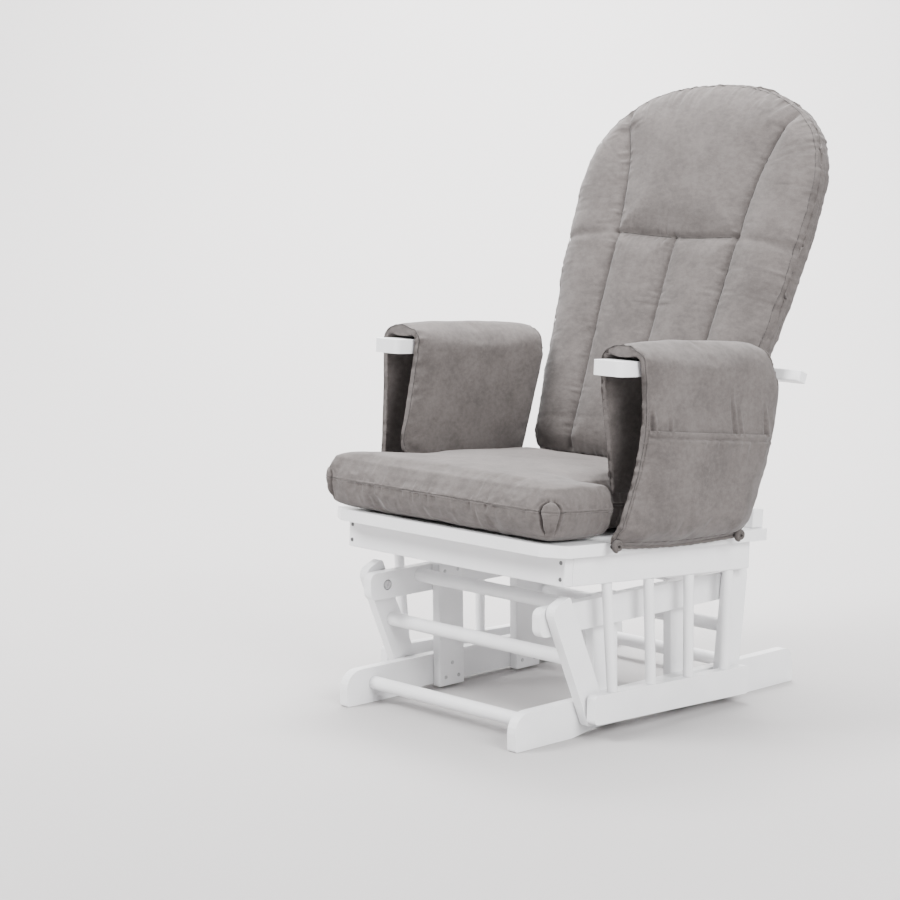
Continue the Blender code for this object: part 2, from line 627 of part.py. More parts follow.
def join(piece, name, mesh, place):
    """Adds the mesh to the piece as a Boolean union."""
    cut(piece, name, mesh, place)
    piece.modifiers[name].operation = "UNION"


# Back --------------------------------------------------------------------------------------------

def on_back(depth):
    """Where a slab goes so that it lies along the back, its middle this far behind the cushion's face."""
    return BACK_FRAME @ Matrix.Translation((0, 0, -depth))


def make_back_frame():
    depth = CUSHION_DEPTH + TOUCH + BOARD / 2
    parent = BODY["back_axis"]
    x, w = STILE_X, STILE_WIDTH
    knee, hip = STILE_BENDS
    stile = fillet([(x - w, STILE_FOOT_S, 0.014), (x, STILE_FOOT_S, 0.014), (*hip, STILE_BEND),
                    (*knee, STILE_BEND), (CREST_HALF, CREST_S - TOUCH, 0),
                    (CREST_HALF - w, CREST_S - TOUCH, 0), (knee[0] - w, knee[1], STILE_BEND),
                    (hip[0] - w, hip[1], STILE_BEND)])
    for side, word in SIDES:
        points = stile if side > 0 else [Vector((-p.x, p.y)) for p in reversed(stile)]
        board = add_piece(f"back_stile_{word}", slab(points, BOARD), WHITE, parent, on_back(depth))
        bore(board, f"stile_hole_{word}", HINGE.y, HINGE.z, PIN + RUNNING, side * (x - w - CLEAR),
             side * (x + CLEAR))
    inner = CREST_HALF - w
    crest = rounded_top(CREST_HALF, CREST_S, CREST_RISE, 24) + fillet(
        [(-inner, CREST_S, 0), (-inner, CREST_SIDE_S, 0.05), (-CREST_FLAT, CREST_INNER_S, 0.04),
         (CREST_FLAT, CREST_INNER_S, 0.04), (inner, CREST_SIDE_S, 0.05), (inner, CREST_S, 0)], steps=3)
    add_piece("back_top_rail", slab(crest, BOARD), WHITE, parent, on_back(depth))
    low, high = BOTTOM_RAIL_S
    reach = x - w - TOUCH
    add_piece("back_bottom_rail", bar_mesh((-reach, low, -BOARD / 2), (reach, high, BOARD / 2)), WHITE,
              parent, on_back(depth))
    for number, middle in enumerate(SLAT_X, 1):
        add_piece(f"back_slat_{number}",
                  bar_mesh((middle - SLAT_WIDTH / 2, high + TOUCH, -SLAT_HALF),
                           (middle + SLAT_WIDTH / 2, CREST_INNER_S - TOUCH, SLAT_HALF)),
                  WHITE, parent, on_back(depth))
    behind = depth + BOARD / 2 + TOUCH + BAR_SIDE / 2
    add_piece("recline_bar",
              bar_mesh((-BAR_HALF, BAR_S - BAR_SIDE / 2, -BAR_SIDE / 2),
                       (BAR_HALF, BAR_S + BAR_SIDE / 2, BAR_SIDE / 2)), WHITE, parent, on_back(behind))


def make_back_cushion():
    """Narrow between the arms, wide above them, with a rounded top."""
    arc = rounded_top(CUSHION_HALF, CUSHION_SHOULDER_S, CUSHION_TOP_S - CUSHION_SHOULDER_S, 20)
    left = [(-x, s, radius) for x, s, radius in CUSHION_SIDE]
    sides = fillet([(-CUSHION_HALF, CUSHION_SHOULDER_S, 0)] + left + CUSHION_SIDE[::-1]
                   + [(CUSHION_HALF, CUSHION_SHOULDER_S, 0)], steps=3)
    outline = arc[:-1] + sides[:-1]
    add_piece("back_cushion", slab(outline, CUSHION_DEPTH, SOFT_EDGE), GREY, BODY["back_axis"],
              on_back(CUSHION_DEPTH / 2))


make_base()
make_links("front", FRONT_TOP_Y, LEAN_AT_REST, -1)
make_links("rear", REAR_TOP_Y, REAR_LEAN, 1)
make_side_frames()
make_deck()
make_arms()
make_back_hinge()
make_seat_cushion()
make_arm_cushions()
make_back_frame()
make_back_cushion()
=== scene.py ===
"""The looks of the glider nursery chair: painted wood, suede-like cushions, steel fasteners, studio."""

import itertools
import math

import bmesh
import bpy
import numpy as np
from mathutils import Matrix, Vector
from mathutils.bvhtree import BVHTree


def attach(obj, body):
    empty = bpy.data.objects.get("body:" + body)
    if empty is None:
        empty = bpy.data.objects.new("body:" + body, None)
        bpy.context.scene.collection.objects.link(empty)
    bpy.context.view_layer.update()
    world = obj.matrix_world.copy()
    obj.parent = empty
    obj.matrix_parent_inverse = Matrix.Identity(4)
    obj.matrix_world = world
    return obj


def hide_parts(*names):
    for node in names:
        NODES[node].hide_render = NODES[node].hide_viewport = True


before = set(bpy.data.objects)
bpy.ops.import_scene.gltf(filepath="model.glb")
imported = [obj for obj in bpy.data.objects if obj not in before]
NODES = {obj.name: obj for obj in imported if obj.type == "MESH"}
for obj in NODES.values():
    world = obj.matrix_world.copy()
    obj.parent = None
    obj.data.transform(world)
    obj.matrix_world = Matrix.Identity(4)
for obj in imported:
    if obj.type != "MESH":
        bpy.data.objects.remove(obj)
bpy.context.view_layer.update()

# Places ---

CENTRE_Y = 0.0417  # the origin's place along the chair, from the runners' middle
SEAT_PIVOT_Z, SEAT_TILT = 0.300, math.radians(-4.0)
BACK_FOOT, BACK_RISE = (0.112, 0.420), math.radians(68.0)
# The seat deck's own frame, and the back's, whose axes are across, up its slope and out of its face.
DECK = Matrix.Translation((0, -CENTRE_Y, SEAT_PIVOT_Z)) @ Matrix.Rotation(SEAT_TILT, 4, "X")
BACK = (Matrix.Translation((0, BACK_FOOT[0] - CENTRE_Y, BACK_FOOT[1]))
        @ Matrix.Rotation(BACK_RISE, 4, "X"))

# The camera that was fitted to the photo. Angles are in degrees, the lens in millimetres.
CAMERA_PLACE = (2.945, -3.0317, 1.049)
CAMERA_YAW, CAMERA_PITCH, CAMERA_ROLL = 47.40, -8.308, -0.63
CAMERA_LENS, CAMERA_SENSOR = 97.1, 36


# Numbers over arrays ---

NOTHING = 1e-9


def lattice(cells, seed):
    """A repeatable value from 0 to 1 at each whole-number place."""
    x, y, z = (cells[..., axis].astype(np.int64) for axis in range(3))
    mixed = (x * 374761393 + y * 668265263 + z * 2147483647 + seed * 1274126177) & 0xFFFFFFFF
    mixed = ((mixed ^ (mixed >> 13)) * 1274126177) & 0xFFFFFFFF
    return ((mixed ^ (mixed >> 16)) & 0xFFFF) / 65535.0


def noise(points, size, seed=0):
    """Smooth noise from -1 to 1 whose bumps are this far apart."""
    scaled = np.asarray(points, float) / size
    cell = np.floor(scaled)
    part = scaled - cell
    part = part * part * (3 - 2 * part)
    total = np.zeros(len(scaled))
    for corner in itertools.product((0, 1), repeat=3):
        weight = np.ones(len(scaled))
        for axis, step in enumerate(corner):
            weight = weight * (part[:, axis] if step else 1 - part[:, axis])
        total += weight * lattice(cell + corner, seed)
    return total * 2 - 1


def along(points, line, closed=False):
    """Each point's distance from a line of points, and how far along the line its nearest place is."""
    line = np.asarray(line, float)
    if closed:
        line = np.vstack([line, line[:1]])
    best = np.full(len(points), 1e9)
    place = np.zeros(len(points))
    travelled = 0.0
    for start, end in zip(line, line[1:]):
        step = end - start
        length = float(np.linalg.norm(step))
        if length < NOTHING:
            continue
        share = np.clip(((points - start) @ step) / length ** 2, 0, 1)
        gap = np.linalg.norm(points - (start + share[:, None] * step), axis=1)
        closer = gap < best
        best[closer] = gap[closer]
        place[closer] = travelled + share[closer] * length
        travelled += length
    return best, place


def inside_distance(points, line):
    """How far inside a closed flat outline each point is; negative outside."""
    gap, _ = along(points, line, closed=True)
    line = np.asarray(line, float)
    inside = np.zeros(len(points), bool)
    for (x0, y0), (x1, y1) in zip(line, np.roll(line, -1, axis=0)):
        crosses = (y0 > points[:, 1]) != (y1 > points[:, 1])
        at = x0 + (points[:, 1] - y0) * (x1 - x0) / ((y1 - y0) or 1e-12)
        inside ^= crosses & (points[:, 0] < at)
    return np.where(inside, gap, -gap)


def gathers(place, off, spacing, seed, reach):
    """Fine pleats that run away from a seam: 0 to 1, each with its own width, strength and length."""
    flat = np.zeros_like(place)
    fold = noise(np.stack([place, off * 0.18, flat], axis=1), spacing, seed)
    fold = np.clip(0.5 + 0.9 * fold, 0, 1)
    spot = np.stack([place, flat, flat], axis=1)
    own = reach * (0.75 + 0.5 * noise(spot, spacing * 2.3, seed + 3))
    patch = 0.65 + 0.35 * noise(spot, spacing * 7.0, seed + 5)
    return fold * patch * np.exp(-off / own) * smooth_step(off, 0.0006, 0.0045)


def smooth_step(value, low, high):
    share = np.clip((value - low) / (high - low), 0, 1)
    return share * share * (3 - 2 * share)


def hump(off, width):
    """1 where off is nothing, falling away to about 0.4 at the width and to nothing beyond twice it."""
    return np.exp(-(off / width) ** 2)


def bend(points, steps=8):
    """A smooth curve through a few points, as a list of tuples."""
    points = [Vector(p) for p in points]
    ends = [2 * points[0] - points[1]] + points + [2 * points[-1] - points[-2]]
    curve = []
    for a, b, c, d in zip(ends, ends[1:], ends[2:], ends[3:]):
        for step in range(steps):
            t = step / steps
            curve.append(0.5 * (2 * b + (c - a) * t + (2 * a - 5 * b + 4 * c - d) * t ** 2
                                + (3 * b - a - 3 * c + d) * t ** 3))
    curve.append(points[-1])
    return [tuple(p) for p in curve]


# Materials ---

def new_material(name, **values):
    """A material whose shader has these values, its object coordinates, and two functions.

    The first adds a node, and the second links a node's output to one of the shader's inputs.
    """
    material = bpy.data.materials.new(name)
    material.use_nodes = True
    tree = material.node_tree
    shader = tree.nodes["Principled BSDF"]
    for key, value in values.items():
        shader.inputs[key.replace("_", " ")].default_value = value

    def add(kind, values=None, links=None, **settings):
        node = tree.nodes.new(kind)
        for key, value in settings.items():
            setattr(node, key, value)
        for key, value in (values or {}).items():
            node.inputs[key].default_value = value
        for key, source in (links or {}).items():
            tree.links.new(source, node.inputs[key])
        return node

    def join(source, key):
        tree.links.new(source, shader.inputs[key])

    return material, add("ShaderNodeTexCoord").outputs["Object"], add, join


def ramp(add, source, stops):
    """The colour between two stops that belongs to the source's value."""
    node = add("ShaderNodeValToRGB", links={"Fac": source})
    for element, (position, colour) in zip(node.color_ramp.elements, stops):
        element.position = position
        element.color = colour
    return node.outputs["Color"]


def tinted(colour, factor):
    """The colour made lighter or darker."""
    return tuple(min(1.0, factor * c) for c in colour[:3]) + (1.0,)


def texture(add, place, scale, detail, roughness=0.5, distortion=0.0):
    """A noise texture's grey value."""
    values = {"Scale": scale, "Detail": detail, "Roughness": roughness, "Distortion": distortion}
    return add("ShaderNodeTexNoise", values, {"Vector": place}).outputs["Fac"]


def stretched(add, place, scale):
    return add("ShaderNodeMapping", {"Scale": scale}, {"Vector": place}).outputs["Vector"]


def bumped(add, height, strength, distance, over=None):
    """The normal of a bump this high, laid over another bump's normal where there is one."""
    links = {"Height": height}
    if over is not None:
        links["Normal"] = over
    return add("ShaderNodeBump", {"Strength": strength, "Distance": distance}, links).outputs["Normal"]


def suede(name, light, dark):
    """Brushed suede-like cloth: nap that lies light or dark in patches, over a very fine fibre."""
    material, place, add, join = new_material(name, Roughness=0.92, Sheen_Weight=0.14,
                                              Sheen_Roughness=0.45, Specular_IOR_Level=0.25)
    patches = texture(add, place, 15.0, 6.0, 0.66)
    strokes = texture(add, stretched(add, place, (0.55, 0.8, 1.0)), 130.0, 5.0, 0.68)
    fibre = texture(add, place, 950.0, 3.0, 0.7)
    shares = [add("ShaderNodeMath", {1: share}, {0: source}, operation="MULTIPLY").outputs[0]
              for source, share in ((patches, 0.40), (strokes, 0.34), (fibre, 0.26))]
    tone = add("ShaderNodeMath", links={0: shares[0], 1: shares[1]}, operation="ADD").outputs[0]
    whole = add("ShaderNodeMath", links={0: tone, 1: shares[2]}, operation="ADD").outputs[0]
    join(ramp(add, whole, [(0.40, dark), (0.60, light)]), "Base Color")
    soft = bumped(add, strokes, 0.16, 0.0012)
    join(bumped(add, fibre, 0.30, 0.0004, soft), "Normal")
    return material


def painted_wood(name, colour, shade):
    """Satin white paint over pine: a faint long grain, and thinner paint here and there."""
    material, place, add, join = new_material(name, Roughness=0.36, Coat_Weight=0.24,
                                              Coat_Roughness=0.20)
    grain = texture(add, stretched(add, place, (1.0, 0.12, 1.0)), 180.0, 5.0, 0.6, 0.4)
    cloud = texture(add, place, 14.0, 3.0)
    mottle = texture(add, place, 420.0, 2.0)
    join(ramp(add, cloud, [(0.30, shade), (0.62, colour)]), "Base Color")
    gloss = {"From Min": 0.3, "From Max": 0.7, "To Min": 0.30, "To Max": 0.44}
    join(add("ShaderNodeMapRange", gloss, {"Value": cloud}).outputs["Result"], "Roughness")
    long = bumped(add, grain, 0.10, 0.0006)
    join(bumped(add, mottle, 0.08, 0.0003, long), "Normal")
    return material


def zinc(name, colour):
    """Zinc-plated steel with fine turning marks and duller spots."""
    material, place, add, join = new_material(name, Roughness=0.35, Metallic=1.0)
    spots = texture(add, place, 260.0, 4.0)
    join(ramp(add, spots, [(0.35, tinted(colour, 0.72)), (0.65, colour)]), "Base Color")
    rough = {"To Min": 0.25, "To Max": 0.5}
    join(add("ShaderNodeMapRange", rough, {"Value": spots}).outputs["Result"], "Roughness")
    join(bumped(add, spots, 0.15, 0.0002), "Normal")
    return material


def thread(name, colour):
    """Sewing thread: twisted plies as a fine wave across the stitch."""
    material, place, add, join = new_material(name, Roughness=0.75)
    ply = texture(add, place, 1400.0, 2.0)
    join(ramp(add, ply, [(0.4, colour), (0.6, tinted(colour, 1.25))]), "Base Color")
    join(bumped(add, ply, 0.4, 0.0002), "Normal")
    return material


def studio_grey(name, colour):
    """Seamless studio paper with a trace of unevenness, seen from its lit side only."""
    material, place, add, join = new_material(name, Roughness=0.75, Specular_IOR_Level=0.15)
    cloud = texture(add, place, 1.3, 2.0)
    join(ramp(add, cloud, [(0.35, tinted(colour, 0.975)), (0.65, colour)]), "Base Color")
    nodes = material.node_tree.nodes
    side = add("ShaderNodeNewGeometry").outputs["Backfacing"]
    paper = nodes["Principled BSDF"].outputs["BSDF"]
    clear = add("ShaderNodeBsdfTransparent").outputs["BSDF"]
    seen = add("ShaderNodeMixShader", links={0: side, 1: paper, 2: clear}).outputs["Shader"]
    material.node_tree.links.new(seen, nodes["Material Output"].inputs["Surface"])
    return material


CLOTH = suede("suede_cloth", (0.124, 0.110, 0.105, 1), (0.076, 0.067, 0.064, 1))
CLOTH_EDGE = suede("suede_cloth_edge", (0.094, 0.084, 0.080, 1), (0.070, 0.062, 0.059, 1))
PAINT = painted_wood("white_paint", (0.82, 0.82, 0.828, 1), (0.78, 0.78, 0.79, 1))
STEEL = zinc("zinc_steel", (0.62, 0.62, 0.63, 1))
THREAD = thread("grey_thread", (0.058, 0.052, 0.050, 1))
# A near-black thread colour for the seam lines: painted shade at the bottom of the seams.
SEAM_SHADE = thread("seam_painted_shade", (0.026, 0.023, 0.022, 1))
SCREW = zinc("dull_zinc_steel", (0.20, 0.20, 0.20, 1))


# Pieces ---

# How the covers behave in the cloth simulation.
COVER = {"quality": 6, "mass": 0.3, "tension_stiffness": 14, "compression_stiffness": 14,
         "shear_stiffness": 6, "bending_stiffness": 0.35, "use_pressure": True,
         "vertex_group_mass": "held"}
MOST_TRIANGLES = 190000  # of one cushion's cover
THREAD_WIDE, THREAD_HIGH, THREAD_LIFT = 0.0004, 0.00032, 0.0002  # lift: its middle above the cloth
STRIP_STEP, STRIP_SIDES = 0.003, 6  # a seam strip's length between rings, and its rings' corners
STRIP_LOOK = 0.1  # how far outside the surface the search for it starts
STRIP_SMOOTHING = 4


def moved(place, points):
    """The points as vectors, from a flat frame to the chair's."""
    return [place @ Vector(p) for p in points]


def add_object(name, data):
    made = bpy.data.objects.new(name, data)
    bpy.context.scene.collection.objects.link(made)
    return made


def mesh_object(name, points, faces, material):
    """A smooth mesh object from an array of points and a list of faces."""
    mesh = bpy.data.meshes.new(name)
    mesh.from_pydata([tuple(p) for p in points], [], [tuple(f) for f in faces])
    mesh.update()
    mesh.materials.append(material)
    mesh.shade_smooth()
    return add_object(name, mesh)


def bmesh_object(name, shape, material):
    """An object from a bmesh, which is used up."""
    mesh = bpy.data.meshes.new(name)
    shape.to_mesh(mesh)
    shape.free()
    mesh.materials.append(material)
    return add_object(name, mesh)


def surface_tree(piece):
    """The piece's surface, for finding the nearest place on it or what a ray meets."""
    return BVHTree.FromPolygons([v.co for v in piece.data.vertices],
                                [tuple(p.vertices) for p in piece.data.polygons])


def read_points(mesh):
    points = np.zeros(len(mesh.vertices) * 3)
    mesh.vertices.foreach_get("co", points)
    return points.reshape(-1, 3)


def write_points(mesh, points):
    mesh.vertices.foreach_set("co", np.asarray(points, float).ravel())
    mesh.update()


def read_normals(mesh):
    normals = np.zeros(len(mesh.vertices) * 3)
    mesh.vertex_normals.foreach_get("vector", normals)
    return normals.reshape(-1, 3)


def apply_all(piece):
    """Applies the piece's modifiers to its mesh."""
    graph = bpy.context.evaluated_depsgraph_get()
    made = bpy.data.meshes.new_from_object(piece.evaluated_get(graph))
    piece.modifiers.clear()
    piece.data = made
    return piece


def remeshed(name, node, place, voxel):
    """A copy of a CAD solid in its own flat frame, with even small faces."""
    source = NODES[node].data.copy()
    source.transform(place.inverted())
    source.materials.clear()
    source.materials.append(CLOTH)
    piece = add_object(name, source)
    remesh = piece.modifiers.new("even", "REMESH")
    remesh.mode = "VOXEL"
    remesh.voxel_size = voxel
    remesh.use_smooth_shade = True
    return apply_all(piece)


def weights(*held):
    """For each point the highest weight whose condition it meets, or 0."""
    return np.max([np.where(condition, weight, 0.0) for condition, weight in held], axis=0)


def inflate(piece, held, cap, pressure, slack=0.0, frames=20):
    """Cloth under pressure, with the held points pinned, each point moving no further than the cap."""
    before = read_points(piece.data)
    group = piece.vertex_groups.new(name="held")
    for weight in np.unique(held[held > 0]):
        group.add(np.flatnonzero(held == weight).tolist(), weight, "REPLACE")
    cloth = piece.modifiers.new("cloth", "CLOTH")
    for key, value in COVER.items():
        setattr(cloth.settings, key, value)
    cloth.settings.shrink_min = -slack
    cloth.settings.uniform_pressure_force = pressure
    cloth.settings.effector_weights.gravity = 0
    cloth.collision_settings.use_collision = False
    cloth.point_cache.frame_end = frames + 1
    for step in range(1, frames + 1):
        bpy.context.scene.frame_set(step)
    graph = bpy.context.evaluated_depsgraph_get()
    after = read_points(piece.evaluated_get(graph).to_mesh())
    piece.modifiers.clear()
    piece.vertex_groups.clear()
    bpy.context.scene.frame_set(1)
    move = after - before
    length = np.linalg.norm(move, axis=1) + 1e-12
    write_points(piece.data, before + move * (cap * np.tanh(length / cap) / length)[:, None])


def subdivide(piece, levels):
    extra = piece.modifiers.new("fine", "SUBSURF")
    extra.levels = extra.render_levels = levels
    apply_all(piece)
    piece.data.shade_smooth()


def thin_out(piece):
    """Fewer faces where the surface is even; the puckers keep theirs."""
    piece.data.calc_loop_triangles()
    count = len(piece.data.loop_triangles)
    if count > MOST_TRIANGLES:
        fewer = piece.modifiers.new("fewer", "DECIMATE")
        fewer.ratio = MOST_TRIANGLES / count
        apply_all(piece)
        piece.data.shade_smooth()


def tube_faces(rings, sides):
    """The faces of an open tube whose points go round one ring after another."""
    return [(ring * sides + side, ring * sides + (side + 1) % sides,
             (ring + 1) * sides + (side + 1) % sides, (ring + 1) * sides + side)
            for ring in range(rings - 1) for side in range(sides)]


def tube(name, rings, sides, material):
    """An open tube: round each ring's centre, on its two half axes."""
    turns = [2 * math.pi * side / sides for side in range(sides)]
    points = [centre + first * math.cos(turn) + second * math.sin(turn)
              for centre, first, second in rings for turn in turns]
    return mesh_object(name, points, tube_faces(len(rings), sides), material)


def stitches(name, line, surface, body, pitch=0.0045, length=0.0030):
    """Thread laid along a line on a surface, one short stitch at a time, as one piece."""
    tree = surface_tree(surface)
    shape = bmesh.new()
    spare = 0.0
    for start, end in zip(line, line[1:]):
        reach = (end - start).length
        while spare < reach:
            spot, normal, _, _ = tree.find_nearest(start.lerp(end, spare / reach))
            forward = (end - start).normalized()
            side = normal.cross(forward).normalized()
            forward = side.cross(normal).normalized()
            turn = Matrix((forward, side, normal)).transposed().to_4x4()
            place = Matrix.Translation(spot + normal * THREAD_LIFT)
            sized = Matrix.Diagonal((length / 2, THREAD_WIDE, THREAD_HIGH, 1))
            bmesh.ops.create_icosphere(shape, subdivisions=1, radius=1.0, matrix=place @ turn @ sized)
            spare += pitch
        spare -= reach
    piece = bmesh_object(name, shape, THREAD)
    piece.data.shade_smooth()
    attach(piece, body)
    return piece


def seam_shade_line(name, line, surface, body, radius=0.0008, sink=0.0003, toward=None):
    """The seam's thread line, coloured near black as painted shade at the bottom of a seam: a thin round
    strip laid on the surface.

    The surface is met along toward, or at its nearest place.
    """
    tree = surface_tree(surface)
    spots = []
    for start, end in zip(line, line[1:]):
        steps = max(1, round((end - start).length / STRIP_STEP))
        for step in range(steps):
            place = start.lerp(end, step / steps)
            if toward:
                hit = tree.ray_cast(place - toward * STRIP_LOOK, toward)
            else:
                hit = tree.find_nearest(place)
            if hit[0] is not None:
                spots.append((hit[0] - hit[1] * sink, hit[1]))
    for _ in range(STRIP_SMOOTHING):
        spots = [((before[0] + 2 * here[0] + after[0]) / 4, here[1]) for before, here, after
                 in zip(spots[:1] + spots, spots, spots[1:] + spots[-1:])]
    rings = []
    for index, (spot, normal) in enumerate(spots):
        forward = (spots[min(index + 1, len(spots) - 1)][0] - spots[max(index - 1, 0)][0]).normalized()
        rings.append((spot, normal.cross(forward).normalized() * radius, normal * radius))
    # The strip's near-black colour is painted seam shade.
    piece = tube(name, rings, STRIP_SIDES, SEAM_SHADE)
    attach(piece, body)


def soft_piece(piece, place, body, node):
    """Puts a finished cushion in the chair, in place of its CAD solid."""
    thin_out(piece)
    piece.data.transform(place)
    piece.data.update()
    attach(piece, body)
    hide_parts(node)


# Back cushion ---

# The head panel's lower seam: its place up the slope, half its length, and its dip in the middle.
HEAD_S, HEAD_X, HEAD_DIP = 0.412, 0.145, 0.006
BACK_RIM = 0.020  # the front edge's seam, behind the face
BACK_BOX = 0.0248  # the boxed side's width, behind that seam
BACK_STITCHING = 0.014  # the edge's stitching, behind the face
BACK_VOXEL = 0.0064
BACK_DENT, BACK_DENT_WIDTH = 0.008, 0.012  # how the padding dips at the face's seams
BACK_ROUND, BACK_ROUND_WIDTH = 0.020, 0.050  # how the face rounds off at its edges
# Puckers at the face's seams and round the edge: depth, spacing, length. Then unevenness.
FACE_PUCKERS, FACE_SPACING, FACE_REACH = 0.0030, 0.0062, 0.022
EDGE_PUCKERS, EDGE_SPACING, EDGE_REACH = 0.0034, 0.0070, 0.034
BACK_UNEVEN = 0.0009


def back_seams():
    """The sewn lines on the back cushion's face, as (x, s) points."""
    lines = [bend([(-HEAD_X, HEAD_S), (0, HEAD_S - HEAD_DIP), (HEAD_X, HEAD_S)])]
    for side in (-1, 1):
        lines.append(bend([(side * HEAD_X, HEAD_S), (side * 0.150, 0.475),
                           (side * 0.166, 0.560), (side * 0.196, 0.640)]))
        lines.append(bend([(side * 0.142, HEAD_S - 0.004), (side * 0.139, 0.30),
                           (side * 0.131, 0.15), (side * 0.124, 0.0)]))
    lines.append([(0, HEAD_S - HEAD_DIP), (0, 0.0)])
    return lines


def flat_outline(points, inset, steps=160):
    """The outline of a flat piece's points, seen from the front, drawn in by the inset."""
    centre = np.array([0.0, (points[:, 1].max() + points[:, 1].min()) / 2])
    turn = np.arctan2(points[:, 1] - centre[1], points[:, 0] - centre[0])
    reach = np.hypot(points[:, 0] - centre[0], points[:, 1] - centre[1])
    line = []
    for step in range(steps):
        angle = -math.pi + 2 * math.pi * (step + 0.5) / steps
        near = np.abs((turn - angle + math.pi) % (2 * math.pi) - math.pi) < 1.5 * math.pi / steps
        line.append((reach[near].max() - inset) * np.array([math.cos(angle), math.sin(angle)]) + centre)
    return np.array(line)


def make_back_cushion():
    """A boxed cushion, sewn through into a head panel over four channels, and puckered at its seams."""
    piece = remeshed("back_cushion_cover", "back_cushion", BACK, BACK_VOXEL)
    points = read_points(piece.data)
    points[:, 0] *= 1 + 0.030 * smooth_step(points[:, 1], 0.20, 0.40)
    points[:, 1] += 0.006 * smooth_step(points[:, 1], 0.30, 0.70)
    outline = flat_outline(points, 0.0)
    thickness = -points[:, 2].min()
    edge = inside_distance(points[:, :2], outline)
    front = smooth_step(points[:, 2], -thickness * 0.55, -thickness * 0.15)

    seams = [np.array(line) for line in back_seams()]
    nearest = np.min([along(points[:, :2], line)[0] for line in seams], axis=0)
    rounding = 1 - smooth_step(edge, 0.0, BACK_ROUND_WIDTH)
    points[:, 2] -= front * (BACK_DENT * hump(nearest, BACK_DENT_WIDTH) + BACK_ROUND * rounding ** 2)
    write_points(piece.data, points)

    # The face's seams are held, the rear panel nearly, and the boxed side's front seam half.
    rim = np.abs(edge - 0.006) + np.abs(points[:, 2] + BACK_RIM)
    held = weights(((nearest < 0.0042) & (front > 0.5), 1.0),
                   (points[:, 2] < -thickness + 0.004, 0.75), (rim < 0.006, 0.5))
    inflate(piece, held, cap=0.016, pressure=4.0)
    subdivide(piece, 2)

    # A narrow valley with puckers at each seam, creases beside the head panel, and uneven filling.
    points = read_points(piece.data)
    normals = read_normals(piece.data)
    front = smooth_step(normals[:, 2], -0.1, 0.5)
    move = np.zeros(len(points))
    for number, line in enumerate(seams):
        gap, place = along(points[:, :2], line)
        pleats = gathers(place, gap, FACE_SPACING, 31 + number, FACE_REACH)
        valley = 0.0035 * hump(gap, 0.0018) + 0.0030 * hump(gap, 0.0060)
        move -= front * (valley + FACE_PUCKERS * pleats)
    band = np.array([(x, s, -BACK_RIM) for x, s in flat_outline(points, 0.004)])
    rear_band = band - (0, 0, BACK_BOX)
    for line, seed, depth in ((band, 61, 0.0026), (rear_band, 71, 0.0020)):
        gap, place = along(points, line, closed=True)
        pleats = gathers(place, gap, EDGE_SPACING, seed, EDGE_REACH)
        move -= depth * hump(gap, 0.0018) + EDGE_PUCKERS * pleats
    crease = np.abs(points[:, 1] - HEAD_S + 0.004 + 0.10 * (np.abs(points[:, 0]) - 0.15))
    outer = smooth_step(np.abs(points[:, 0]), 0.150, 0.185)
    move -= 0.0030 * front * outer * hump(crease, 0.008)
    broad = noise(points * (1.0, 0.55, 1.0), 0.070, 3)
    broad += 0.4 * noise(points * (1.0, 0.6, 1.0), 0.026, 4)
    move += BACK_UNEVEN * front * broad
    write_points(piece.data, points + normals * move[:, None])

    soft_piece(piece, BACK, "back", "back_cushion")
    for number, line in enumerate(back_seams(), 1):
        seam_shade_line(f"back_seam_shade_{number}", moved(BACK, [(*spot, 0.0) for spot in line]), piece, "back",
                  toward=-BACK.to_3x3().col[2])
    edge_line = moved(BACK, [(x, s, -BACK_STITCHING) for x, s, _ in [*band, band[0]]])
    seam_shade_line("back_cushion_edge_seam_shade", edge_line, piece, "back", radius=0.0006)
    stitches("back_cushion_edge_stitching", edge_line, piece, "back", pitch=0.0050, length=0.0032)


# Seat cushion ---

SEAT_HALF, SEAT_WAIST = 0.280, 0.212
SEAT_FRONT, SEAT_EAR, SEAT_REAR = -0.335, -0.183, 0.102
SEAT_VOXEL = 0.0055
SEAT_CORNER = 0.030  # rounding of the two front corners
SEAT_WIDER = 1.012  # how much the filled cover is wider than its outline
# The seam round the seat cushion: its share of the height at the rear, and how much more at the front.
SEAM_SHARE, SEAM_RISE = 0.50, 0.07
# Above that seam and below it: how far in a panel rounds off, the share of its height that it keeps at
# the edge, how far it is drawn in, and its puckers' depth.
SEAT_ROUND, SEAT_KEPT, SEAT_DRAWN = (0.034, 0.075), (0.64, 0.42), (0.010, 0.017)
SEAT_PUCKERS, LONG_PUCKERS = (0.0028, 0.0044), 0.0018
SEAT_CROWN, SEAT_UNEVEN = 0.005, 0.0012
PLEAT_HALF, PLEAT_ARCH = 0.0175, 0.017  # a corner pleat's half width, and its arch's height
PLEAT_RAISED, PLEAT_CREASE = 0.0042, 0.0056  # how far its flap stands up, and its crease goes down


def seat_outline():
    """The seat cushion from above: full width in front of the arms, narrower between them."""
    corner = SEAT_CORNER
    half = [(SEAT_WAIST, SEAT_REAR), (SEAT_WAIST, SEAT_EAR), (SEAT_HALF, SEAT_EAR),
            (SEAT_HALF, SEAT_FRONT + corner)]
    half += [(SEAT_HALF - corner * (1 - math.cos(a)), SEAT_FRONT + corner * (1 - math.sin(a)))
             for a in (0.4, 0.8, 1.2)]
    half.append((SEAT_HALF - corner, SEAT_FRONT))
    return np.array(half + [(-x, y) for x, y in reversed(half)])


def along_outline(outline, step=0.012):
    """Points at even steps round a closed outline."""
    spots = []
    for start, end in zip(outline, np.roll(outline, -1, axis=0)):
        count = max(1, round(float(np.linalg.norm(end - start)) / step))
        spots += [start + (end - start) * index / count for index in range(count)]
    return spots + [outline[0]]


